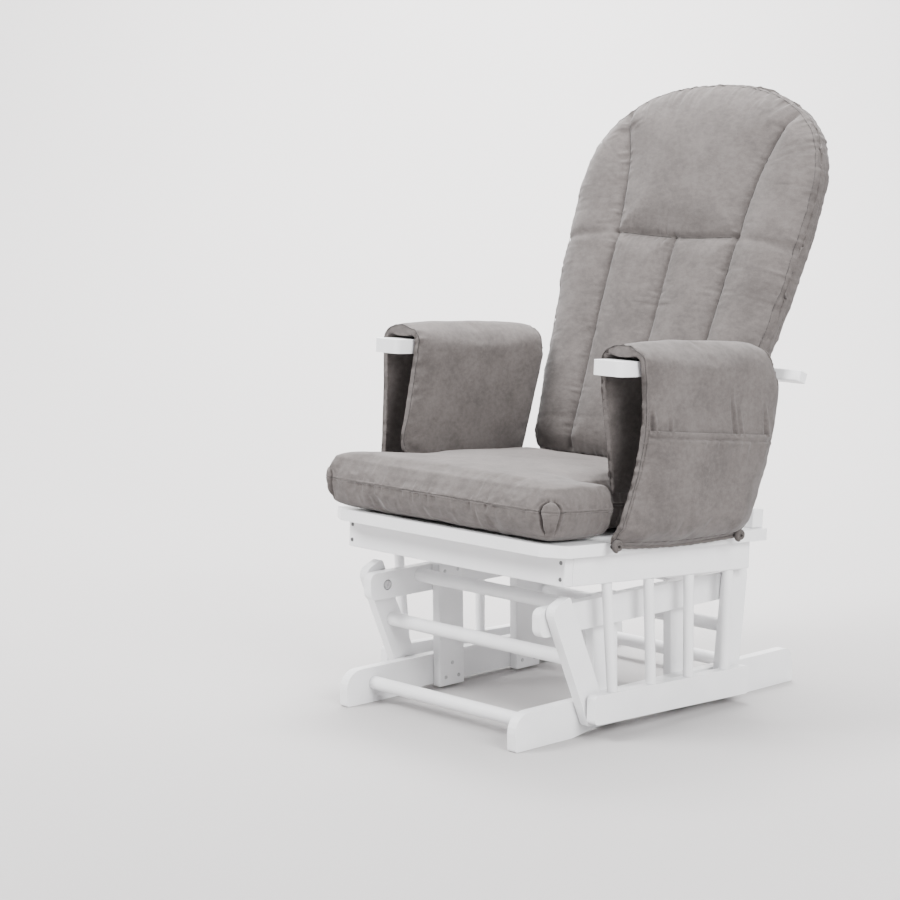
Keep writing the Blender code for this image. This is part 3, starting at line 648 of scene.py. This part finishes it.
def corner_place(outline, side):
    """How far along the outline its front corner on this side is."""
    corner = np.array([[side * (SEAT_HALF - 0.009), SEAT_FRONT + 0.009]])
    return along(corner, outline, closed=True)[1][0]


def corner_pleat(across, height):
    """The folded pleat at a corner: a raised flap below the seam, an arch above, and their creases."""
    arch = PLEAT_HALF * np.sqrt(np.clip(1 - (np.clip(height, 0, None) / PLEAT_ARCH) ** 2, 0.02, 1))
    half = np.maximum(np.where(height < 0, PLEAT_HALF + 0.13 * height, arch), 0.0035)
    from_side = half - np.abs(across)
    present = smooth_step(height, -0.044, -0.020) * (1 - smooth_step(height, 0.010, 0.024))
    raised = PLEAT_RAISED * smooth_step(from_side, -0.0005, 0.005)
    crease = (PLEAT_CREASE + 0.0034 * (across > 0)) * hump(from_side + 0.0018, 0.0024)
    hollow = 0.0022 * hump(across, 0.005) * smooth_step(-height, 0.004, 0.020)
    spread = hump(np.abs(across) - half - 0.012, 0.006)
    return present * (raised - crease - hollow - 0.0020 * spread)


def seam_level(y, low, high):
    """The height of the seat cushion's seam at this place along the deck."""
    return low + (SEAM_SHARE + SEAM_RISE * smooth_step(-y, -0.05, 0.30)) * (high - low)


def make_seat_cushion():
    """Two panels sewn edge to edge round a foam slab: fullest at the seam, drawn in above and below."""
    piece = remeshed("seat_cushion_cover", "seat_cushion", DECK, SEAT_VOXEL)
    points = read_points(piece.data)
    low, high = points[:, 2].min(), points[:, 2].max()
    outline = seat_outline()
    seam_height = seam_level(points[:, 1], low, high)
    edge = np.maximum(inside_distance(points[:, :2], outline), 0)
    above = points[:, 2] > seam_height
    reach, kept = np.where(above, *SEAT_ROUND), np.where(above, *SEAT_KEPT)
    bulge = np.sqrt(np.clip(1 - (1 - np.clip(edge / reach, 0, 1)) ** 2, 0, 1))
    points[:, 2] = seam_height + (points[:, 2] - seam_height) * (kept + (1 - kept) * bulge)
    rise = np.where(above, (points[:, 2] - seam_height) / (high - seam_height),
                    (seam_height - points[:, 2]) / (seam_height - low))
    drawn = np.where(above, *SEAT_DRAWN) * np.clip(rise, 0, 1) ** 1.4
    drawn *= 1 - smooth_step(edge, 0.0, 0.060)
    away = read_normals(piece.data)
    away[:, 2] = 0
    away /= np.linalg.norm(away, axis=1)[:, None] + NOTHING
    upright = 1 - smooth_step(edge, 0.003, 0.012)
    points -= away * (drawn * upright)[:, None]
    crown = (1 - (points[:, 0] / SEAT_HALF) ** 2) * smooth_step(edge, 0, 0.14)
    points[:, 2] += SEAT_CROWN * crown * above
    write_points(piece.data, points)

    at_seam = (edge < 0.006) & (np.abs(points[:, 2] - seam_height) < 0.005)
    held = weights((at_seam, 1.0), (points[:, 2] < low + 0.002, 0.75))
    inflate(piece, held, cap=0.007, pressure=2.2, slack=0.012)
    subdivide(piece, 2)

    # The seam's groove, short and long puckers on both sides of it, and the pleats at the corners.
    points = read_points(piece.data)
    points[:, 2] = np.maximum(points[:, 2], low)
    write_points(piece.data, points)
    normals = read_normals(piece.data)
    _, place = along(points[:, :2], outline, closed=True)
    height = points[:, 2] - seam_level(points[:, 1], low, high)
    off = np.abs(height)
    upright = 1 - smooth_step(np.abs(normals[:, 2]), 0.70, 0.97)
    pleats = np.where(height >= 0, *SEAT_PUCKERS) * gathers(place, off, 0.0064, 5, 0.030)
    tall = LONG_PUCKERS * gathers(place, off, 0.0180, 9, 0.055)
    move = -upright * (0.0016 * hump(off, 0.0013) + pleats + tall)
    for side in (-1, 1):
        across = place - corner_place(outline, side)
        move += upright * corner_pleat(across, height)
    broad = noise(points, 0.090, 13) + 0.45 * noise(points, 0.032, 14)
    move += SEAT_UNEVEN * broad * smooth_step(points[:, 2], low + 0.01, high)
    points += normals * move[:, None]
    points[:, 0] *= SEAT_WIDER
    points[:, 2] = np.maximum(points[:, 2], low - 0.0002)
    write_points(piece.data, points)
    soft_piece(piece, DECK, "seat", "seat_cushion")
    seam = moved(DECK, [(SEAT_WIDER * x, y, seam_level(y, low, high)) for x, y in along_outline(outline)])
    seam_shade_line("seat_cushion_seam_shade", seam, piece, "seat", radius=0.0005, sink=0.0004)


# Arm cushions ---

# Lengths in the deck's frame, in metres.
PAD_OUTER, PAD_INNER = 0.3118, 0.2245  # middle of each hanging panel, across
PAD_MIDDLE = (PAD_OUTER + PAD_INNER) / 2
PAD_FOOT, PAD_FLAP_FOOT, PAD_RIDGE = 0.016, 0.088, 0.3265
PAD_CORNER = 0.020
PAD_THICK, PAD_ROOF = 0.0165, 0.026  # thickness of the panels, and over the armrest
PAD_END = 0.026  # length over which the padding thins out at a foot
PAD_ACROSS = 64  # points from a panel's front edge to its rear one
# Heights on the hanging panels, and how far back they reach there.
OUTER_HEIGHTS = (0.016, 0.060, 0.130, 0.200, 0.255, 0.300, PAD_RIDGE)
OUTER_REAR = (0.098, 0.116, 0.142, 0.162, 0.168, 0.155, 0.132)
INNER_HEIGHTS = (0.088, 0.130, 0.180, 0.277, PAD_RIDGE)
INNER_REAR = (0.086, 0.098, 0.112, 0.136, 0.132)
# How far forward they reach. Both cushions are cut alike, so the panel towards +X is the one that runs
# forward at its foot.
OUTER_FRONT = {"left": (-0.215, -0.201, -0.175, -0.161, -0.163, -0.168, -0.173),
               "right": (-0.172, -0.168, -0.166, -0.167, -0.169, -0.171, -0.173)}
INNER_FRONT = {"left": (-0.134, -0.1413, -0.150, -0.170, -0.173),
               "right": (-0.178, -0.204, -0.192, -0.178, -0.173)}
LOW_FILL = 0.012  # extra fullness of the outer panel's lower half
SAG = 0.006  # how far that panel's foot hangs between its corners
FOOT_CURL = 0.014  # how far that panel's foot turns in under itself
OUTSIDE = 0.36  # a place across that is clear of the cushion
PANEL_LIP = 0.0075  # height of the outer panel's lower seam above its foot
# Puckers at the front edges, the rear edges and the feet, and unevenness.
FRONT_PUCKERS, REAR_PUCKERS, FOOT_PUCKERS, PAD_UNEVEN = 0.0048, 0.0014, 0.0016, 0.0013

POCKET_FRONT, POCKET_REAR = 0.203, 0.187  # height of the pocket's hem at each end
POCKET_COLUMNS, POCKET_ROWS = 140, 76
POCKET_CLOTH, POCKET_PUCKERS = 0.0016, 0.0130  # its thickness, and how far the gathers stand up
HEM_DEPTH = 0.0105  # from the hem's edge down to its stitching
HEM_SLOPE = 0.10  # how much the folds above the hem lean forward
# Folds that stand up from the hem: share of the width from the front, height, strength.
HEM_FOLDS = ((0.055, 0.046, 0.0062), (0.160, 0.040, 0.0026), (0.645, 0.090, 0.0048),
             (0.690, 0.060, 0.0030), (0.900, 0.062, 0.0050))


def sagging(share):
    """How far the outer panel's foot hangs at this share of its width."""
    return SAG * np.sin(math.pi * share)


def hem_height(share):
    return POCKET_FRONT + (POCKET_REAR - POCKET_FRONT) * share


def pad_stations(word, count=104):
    """The pad's middle line, from the outer panel's foot over the armrest to the inner flap's foot.

    For each place on it: the distance along, x, z, the way out, the edges' y, and the thickness.
    """
    quarter = [(PAD_CORNER * (1 - math.cos(a)), PAD_RIDGE - PAD_CORNER * (1 - math.sin(a)))
               for a in np.linspace(0, math.pi / 2, 7)]
    path = np.array([(PAD_OUTER, PAD_FOOT), *((PAD_OUTER - inward, z) for inward, z in quarter),
                     *((PAD_INNER + inward, z) for inward, z in quarter[::-1]),
                     (PAD_INNER, PAD_FLAP_FOOT)])
    lengths = np.concatenate([[0], np.cumsum(np.linalg.norm(np.diff(path, axis=0), axis=1))])
    at = np.linspace(0, lengths[-1], count)
    x, z = np.interp(at, lengths, path[:, 0]), np.interp(at, lengths, path[:, 1])
    x -= FOOT_CURL * (1 - smooth_step(at, 0.0, 0.034))
    tangent = np.gradient(np.stack([x, z], axis=1), axis=0)
    tangent /= np.linalg.norm(tangent, axis=1)[:, None]
    outward = np.stack([tangent[:, 1], -tangent[:, 0]], axis=1)
    on_outer = x > PAD_MIDDLE
    front = np.where(on_outer, np.interp(z, OUTER_HEIGHTS, OUTER_FRONT[word]),
                     np.interp(z, INNER_HEIGHTS, INNER_FRONT[word]))
    rear = np.where(on_outer, np.interp(z, OUTER_HEIGHTS, OUTER_REAR),
                    np.interp(z, INNER_HEIGHTS, INNER_REAR))
    kernel = np.ones(7) / 7
    for edge in (front, rear):
        edge[:] = np.convolve(np.pad(edge, 3, mode="edge"), kernel, mode="valid")
    top = np.clip(1 - np.abs((x - PAD_MIDDLE) / 0.030), 0, 1)
    thick = PAD_THICK + (PAD_ROOF - PAD_THICK) * smooth_step(top, 0.0, 0.7)
    return at, x, z, outward, front, rear, thick


def pad_points(pad):
    """A ring of points round the pad's thickness at each station."""
    at, x, z, outward, front, rear, thick = pad
    share = np.linspace(0, 1, PAD_ACROSS)
    share = 0.5 - 0.5 * np.cos(math.pi * share) * (0.35 + 0.65 * np.abs(np.cos(math.pi * share)) ** 0.5)
    points = []
    for index, here in enumerate(at):
        from_end = min(here, at[-1] - here)
        close = math.sqrt(max(0.0, 1 - max(0.0, 1 - from_end / PAD_END) ** 2))
        half = thick[index] / 2 * (0.30 + 0.70 * close)
        length = rear[index] - front[index]
        y = front[index] + share * length
        from_edge = np.minimum(share, 1 - share) * length
        puff = half * (0.74 + 0.26 * (1 - np.exp(-from_edge / 0.020)))
        full = LOW_FILL * smooth_step(here, 0.0, 0.036) * (1 - smooth_step(here, 0.10, 0.26))
        swell = full * smooth_step(from_edge, 0.0, 0.050)
        droop = (1 - smooth_step(here, 0.0, 0.09)) * sagging(share)
        across, up = outward[index]
        points += list(zip(x[index] + across * (puff + swell), y, z[index] + up * (puff + swell) - droop))
        points += list(zip(x[index] - across * puff, y, z[index] - up * puff - droop))[::-1]
    return np.array(points)


def pad_faces(rows):
    """The faces between the rings, and those that close the first ring and the last."""
    around = 2 * PAD_ACROSS
    faces = tube_faces(rows, around)
    for base, forward in ((0, True), ((rows - 1) * around, False)):
        for step in range(PAD_ACROSS - 1):
            quad = (base + step, base + step + 1, base + around - 2 - step, base + around - 1 - step)
            faces.append(quad if forward else quad[::-1])
    return faces


def hem_folds(points, pad):
    """How far each point is moved by the folds that stand above the pocket's hem."""
    at, _, z, _, front, rear, _ = pad
    rising = at < 0.3
    hem_front, hem_rear = (np.interp(POCKET_FRONT, np.sort(z[rising]), edge[rising])
                           for edge in (front, rear))
    move = np.zeros(len(points))
    for share, tall, strength in HEM_FOLDS:
        rise = points[:, 2] - hem_height(share)
        away = points[:, 1] - (hem_front + (hem_rear - hem_front) * share - HEM_SLOPE * rise)
        stands = smooth_step(-rise, -tall, -tall * 0.15) * (points[:, 0] > PAD_OUTER) * (rise > -0.003)
        move += stands * strength * (hump(away, 0.0030) - 0.8 * hump(away + 0.0052, 0.0028))
    return move


def make_arm_cushion(side, word):
    """A saddle: a padded strip wrapped over the armrest, boxed at its front and rear edges."""
    pad = pad_stations(word)
    at, x, z, outward, front, rear, thick = pad
    points, faces = pad_points(pad), pad_faces(len(at))
    if side < 0:
        points[:, 0] *= -1
        faces = [face[::-1] for face in faces]
    piece = mesh_object(f"arm_cushion_cover_{word}", points, faces, CLOTH)
    shape = bmesh.new()
    shape.from_mesh(piece.data)
    bmesh.ops.recalc_face_normals(shape, faces=shape.faces)
    shape.to_mesh(piece.data)
    shape.free()

    # The panels' edges and feet are held, and the inner layer nearly.
    row_of, step_of = np.divmod(np.arange(len(points)), 2 * PAD_ACROSS)
    from_rim = np.minimum(step_of % PAD_ACROSS, PAD_ACROSS - 1 - step_of % PAD_ACROSS)
    border = (from_rim <= 1) | (row_of <= 1) | (row_of >= len(at) - 2)
    held = weights((border, 1.0), (step_of >= PAD_ACROSS, 0.75))
    inflate(piece, held, cap=0.005, pressure=2.0, slack=0.02, frames=14)
    subdivide(piece, 2)

    # Grooves and puckers along the four edge seams (front and rear, outer layer first) and the feet.
    points = read_points(piece.data)
    normals = read_normals(piece.data)
    move = np.zeros(len(points))
    rim = thick / 2 * 0.80
    edges = [np.stack([side * (x + outward[:, 0] * reach), edge, z + outward[:, 1] * reach], axis=1)
             for reach in (rim, -rim) for edge in (front, rear)]
    for number, line in enumerate(edges):
        gap, place = along(points, line)
        depth = REAR_PUCKERS if number % 2 else FRONT_PUCKERS
        move -= 0.0018 * hump(gap, 0.0016) + depth * gathers(place, gap, 0.0095, 80 + number, 0.013)
    for row in (0, len(at) - 1):
        foot = np.array([(side * x[row], y, z[row]) for y in np.linspace(front[row], rear[row], 24)])
        gap, place = along(points, foot)
        move -= FOOT_PUCKERS * gathers(place, gap, 0.014, 95, 0.024)
    if side > 0:
        move += hem_folds(points, pad)
    broad = noise(points * (1.0, 1.0, 0.45), 0.050, 21)
    broad += 0.4 * noise(points * (1.0, 1.0, 0.5), 0.020, 22)
    move += PAD_UNEVEN * broad
    write_points(piece.data, points + normals * move[:, None])
    soft_piece(piece, DECK, "seat", f"arm_cushion_{word}")

    for number, line in enumerate(edges[:2], 1):
        seam_shade_line(f"arm_cushion_seam_{number}_{word}", moved(DECK, line[2:-2]), piece, "seat",
                  radius=0.0007)
    foot_line = [(side * OUTSIDE, y, PAD_FOOT + PANEL_LIP - sagging(share))
                 for share, y in zip(np.linspace(0.05, 0.95, 40),
                                     np.linspace(front[0] + 0.016, rear[0] - 0.010, 40))]
    seam_shade_line(f"arm_cushion_foot_seam_shade_{word}", moved(DECK, foot_line), piece, "seat", radius=0.0007,
              toward=DECK.to_3x3() @ Vector((-side, 0, 0)))
    stitched = edges[0][3:60] + (side * 0.001, 0.006, 0)
    stitches(f"arm_cushion_stitching_{word}", moved(DECK, stitched), piece, "seat")
    return piece, pad


def make_pocket(cover, pad):
    """The left cushion's patch over its outer panel's lower half, open along its hem at the top."""
    at, _, z, _, front, rear, _ = pad
    tree = surface_tree(cover)
    inward = DECK.to_3x3() @ Vector((-1, 0, 0))
    inverse = DECK.inverted()
    outer = at < PAD_RIDGE - PAD_CORNER - PAD_FOOT
    up = np.repeat(np.linspace(0, 1, POCKET_ROWS), POCKET_COLUMNS)
    share = np.tile(np.linspace(0, 1, POCKET_COLUMNS), POCKET_ROWS)
    foot = PAD_FOOT + 0.011 - 0.004 * share - sagging(share)
    height = foot + (hem_height(share) - foot) * up
    first = np.interp(height, z[outer], front[outer]) + 0.006
    last = np.interp(height, z[outer], rear[outer]) - 0.004
    points = np.stack([height, first + (last - first) * share, height], axis=1)
    for point in points:
        hit = tree.ray_cast(DECK @ Vector((OUTSIDE, point[1], point[2])), inward)[0]
        point[0] = (inverse @ hit).x if hit else 0.322

    # It is sewn down on three sides. Its top gapes a little, and is gathered below a turned hem.
    from_side = np.minimum(share, 1 - share)
    border = np.minimum(from_side * 0.30, up * 0.19)
    open_top = smooth_step(up, 0.75, 1.0) * smooth_step(from_side, 0.0, 0.10)
    hem_gap = np.abs(points[:, 2] - hem_height(share))
    lift = 0.0012 + 0.0016 * smooth_step(border, 0, 0.010) + 0.0014 * open_top
    pleat = gathers(share * 0.30, np.maximum(hem_gap - HEM_DEPTH, 0), 0.0110, 44, 0.020)
    lift += POCKET_PUCKERS * pleat * (hem_gap > HEM_DEPTH)
    lift += 0.0011 * hump(hem_gap - 0.005, 0.004) - 0.0020 * hump(hem_gap - 0.0115, 0.0016)
    lift += 0.0016 * noise(points * (1, 1, 0.6), 0.055, 51) * smooth_step(border, 0, 0.03)
    points[:, 0] += lift
    faces = [(base, base + 1, base + POCKET_COLUMNS + 1, base + POCKET_COLUMNS)
             for row in range(POCKET_ROWS - 1)
             for base in range(row * POCKET_COLUMNS, (row + 1) * POCKET_COLUMNS - 1)]
    piece = mesh_object("arm_pocket_left", points, faces, CLOTH)
    shell = piece.modifiers.new("cloth_thickness", "SOLIDIFY")
    shell.thickness = POCKET_CLOTH
    shell.offset = -1
    apply_all(piece)
    subdivide(piece, 1)
    piece.data.transform(DECK)
    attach(piece, "seat")
    hem_line = [(0.325, -0.155 + 0.31 * t, hem_height(t) - HEM_DEPTH)
                for t in np.linspace(0.0, 1.0, 60)]
    thread_line = stitches("arm_pocket_stitching_left", moved(DECK, hem_line), piece, "seat")


TAPE_WIDE, TAPE_HIGH = 0.0042, 0.0036  # half the rolled tape's width and height
TAPE_RINGS, TAPE_SIDES = 60, 12
# The tape's coiled ends: how far each turns, its inner radius and growth, and the coil's own section.
COIL_TURN = 3.4 * math.pi
COIL_START, COIL_GROWS = 0.0034, 0.0058
COIL_THICK, COIL_WIDE = 0.0027, 0.0050
COIL_RINGS, COIL_SIDES = 44, 10


def make_tape(side, word, pad):
    """The edge tape rolled along the outer panel's foot, its ends coiled and tacked at the corners."""
    front, rear = pad[4][0], pad[5][0]
    rings = []
    for index, share in enumerate(np.linspace(0.02, 0.98, TAPE_RINGS)):
        swell = 1 + 0.10 * math.sin(index * 1.9) + 0.08 * math.sin(index * 0.7 + 1.0)
        rings.append((Vector((side * (PAD_OUTER - FOOT_CURL + 0.0010), front + (rear - front) * share,
                              PAD_FOOT - 0.001 - sagging(share))),
                      Vector((side * TAPE_WIDE * swell, 0, 0)), Vector((0, 0, TAPE_HIGH * swell))))
    tapes = [tube(f"arm_tape_{word}", rings, TAPE_SIDES, CLOTH_EDGE)]
    for end, y in (("front", front + 0.008), ("rear", rear - 0.006)):
        centre = Vector((side * (PAD_OUTER - 0.0025), y, PAD_FOOT + 0.001))
        rings = []
        for share in np.linspace(0, 1, COIL_RINGS):
            out = Vector((0, math.cos(COIL_TURN * share), math.sin(COIL_TURN * share)))
            rings.append((centre + out * (COIL_START + COIL_GROWS * share), out * COIL_THICK,
                          Vector((side * COIL_WIDE, 0, 0))))
        tapes.append(tube(f"arm_tape_{end}_{word}", rings, COIL_SIDES, CLOTH_EDGE))
    for piece in tapes:
        piece.data.transform(DECK)
        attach(piece, "seat")


# Screws ---

SCREW_RADIUS, SCREW_HEAD, SCREW_TAPER = 0.0036, 0.0010, 0.86
SLOT_LONG, SLOT_WIDE, SLOT_DEEP = 1.15, 0.22, 0.0004  # the first two are shares of the radius
# In the deck's frame, on the front apron.
APRON_SCREW_X, APRON_SCREW_Y, APRON_SCREW_HEIGHTS = 0.2565, -0.2794, (-0.012, -0.039)
UPRIGHT_FACE = 0.1800  # the uprights' inner faces, across
UPRIGHT_STARTS = (-0.146, 0.045)  # each upright's front edge, from the runners' middle
# The screws in an upright: distance behind its front edge, and height.
UPRIGHT_SCREWS = ((0.014, 0.020), (0.045, 0.020), (0.030, 0.045), (0.014, 0.190), (0.045, 0.190),
                  (0.014, 0.213), (0.045, 0.213))


def screw_heads(name, spots, body, metal):
    """Countersunk cross-head screws: (place, outward) pairs, all as one piece."""
    shape = bmesh.new()
    for place, outward in spots:
        turn = Vector(outward).to_track_quat("Z", "Y").to_matrix().to_4x4()
        seat = Matrix.Translation(Vector(place)) @ turn
        bmesh.ops.create_cone(shape, cap_ends=True, segments=24, radius1=SCREW_RADIUS,
                              radius2=SCREW_RADIUS * SCREW_TAPER, depth=SCREW_HEAD,
                              matrix=seat @ Matrix.Translation((0, 0, 0.0004)))
        for angle in (0.4, 0.4 + math.pi / 2):
            slot = Matrix.Rotation(angle, 4, "Z") @ Matrix.Diagonal(
                (SCREW_RADIUS * SLOT_LONG, SCREW_RADIUS * SLOT_WIDE, SLOT_DEEP, 1))
            bmesh.ops.create_cube(shape, size=1.0,
                                  matrix=seat @ Matrix.Translation((0, 0, 0.00088)) @ slot)
    piece = bmesh_object(name, shape, metal)
    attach(piece, body)


def make_screws():
    outward = DECK.to_3x3() @ Vector((0, -1, 0))
    apron = [(DECK @ Vector((side * APRON_SCREW_X, APRON_SCREW_Y, height)), outward)
             for side in (-1, 1) for height in APRON_SCREW_HEIGHTS]
    screw_heads("seat_screws", apron, "seat", SCREW)
    uprights = [((side * UPRIGHT_FACE, start - CENTRE_Y + behind, height), (-side, 0, 0))
                for side in (-1, 1) for start in UPRIGHT_STARTS for behind, height in UPRIGHT_SCREWS]
    screw_heads("base_screws", uprights, "base", STEEL)


# Studio ---

# Each lamp's name, place, aim, diameter and power.
LAMPS = (("key", (-1.6, -3.2, 3.4), (0, 0, 0.5), 2.0, 355),
         ("fill", (3.6, -0.9, 2.2), (0, 0, 0.5), 2.2, 262),
         ("top", (0.2, 0.3, 4.0), (0, 0, 0.5), 2.4, 180),
         ("backdrop", (-1.0, 1.0, 3.3), (-2.3, 2.1, 1.5), 1.8, 480))


PAPER_HALF, PAPER_CURVE, PAPER_FLAT, PAPER_TOP = 9.0, 1.6, 1.2, 7.0
PAPER_DROP = 0.0004  # how far the paper lies below the runners
AIR_COLOUR, AIR_STRENGTH = (0.93, 0.94, 0.96, 1), 0.64


def make_studio():
    """A seamless paper floor that curves up into the backdrop, and soft lamps."""
    forward = Matrix.Rotation(math.radians(CAMERA_YAW), 3, "Z") @ Vector((0, 1, 0))
    across = Vector((forward.y, -forward.x, 0))
    profile = [(-6.0, 0.0), (-2.0, 0.0), (PAPER_FLAT, 0.0)]
    profile += [(PAPER_FLAT + PAPER_CURVE * math.sin(a), PAPER_CURVE * (1 - math.cos(a)))
                for a in np.linspace(0.1, math.pi / 2, 14)]
    profile.append((PAPER_FLAT + PAPER_CURVE, PAPER_TOP))
    points = []
    for u, height in profile:
        for v in (-PAPER_HALF, PAPER_HALF):
            spot = forward * u + across * v
            points.append((spot.x, spot.y, height - PAPER_DROP))
    faces = [(base, base + 1, base + 3, base + 2) for base in range(0, 2 * len(profile) - 2, 2)]
    paper = studio_grey("studio_paper", (0.450, 0.437, 0.435, 1))
    floor = mesh_object("studio_floor", points, faces, paper)

    world = bpy.data.worlds.new("studio_air")
    bpy.context.scene.world = world
    world.use_nodes = True
    background = world.node_tree.nodes["Background"]
    background.inputs["Color"].default_value = AIR_COLOUR
    background.inputs["Strength"].default_value = AIR_STRENGTH

    for name, place, target, size, power in LAMPS:
        light = bpy.data.lights.new(name, "AREA")
        light.shape = "DISK"
        light.size = size
        light.energy = power
        lamp = add_object(name, light)
        lamp.location = place
        lamp.rotation_euler = (Vector(target) - Vector(place)).to_track_quat("-Z", "Y").to_euler()


def make_camera():
    yaw, pitch, roll = (math.radians(a) for a in (CAMERA_YAW, CAMERA_PITCH, CAMERA_ROLL))
    data = bpy.data.cameras.new("camera")
    data.lens = CAMERA_LENS
    data.sensor_width = CAMERA_SENSOR
    camera = add_object("camera", data)
    forward = Vector((-math.sin(yaw) * math.cos(pitch), math.cos(yaw) * math.cos(pitch), math.sin(pitch)))
    level = forward.cross(Vector((0, 0, 1))).normalized()
    rise = level.cross(forward)
    right = level * math.cos(roll) + rise * math.sin(roll)
    up = right.cross(forward)
    camera.matrix_world = Matrix.Translation(CAMERA_PLACE) @ Matrix(
        (right, up, -forward)).transposed().to_4x4()
    bpy.context.scene.camera = camera


def paint_nodes():
    """The carried-over CAD pieces: wood is painted, fasteners are steel."""
    for name, node in NODES.items():
        metal = "bolt" in name or "rod" in name
        for slot in node.material_slots:
            slot.material = STEEL if metal else PAINT


make_camera()
make_studio()
paint_nodes()
make_back_cushion()
make_seat_cushion()
for sign, hand in ((1, "left"), (-1, "right")):
    cushion, stations = make_arm_cushion(sign, hand)
    make_tape(sign, hand, stations)
    if hand == "left":
        make_pocket(cushion, stations)
make_screws()
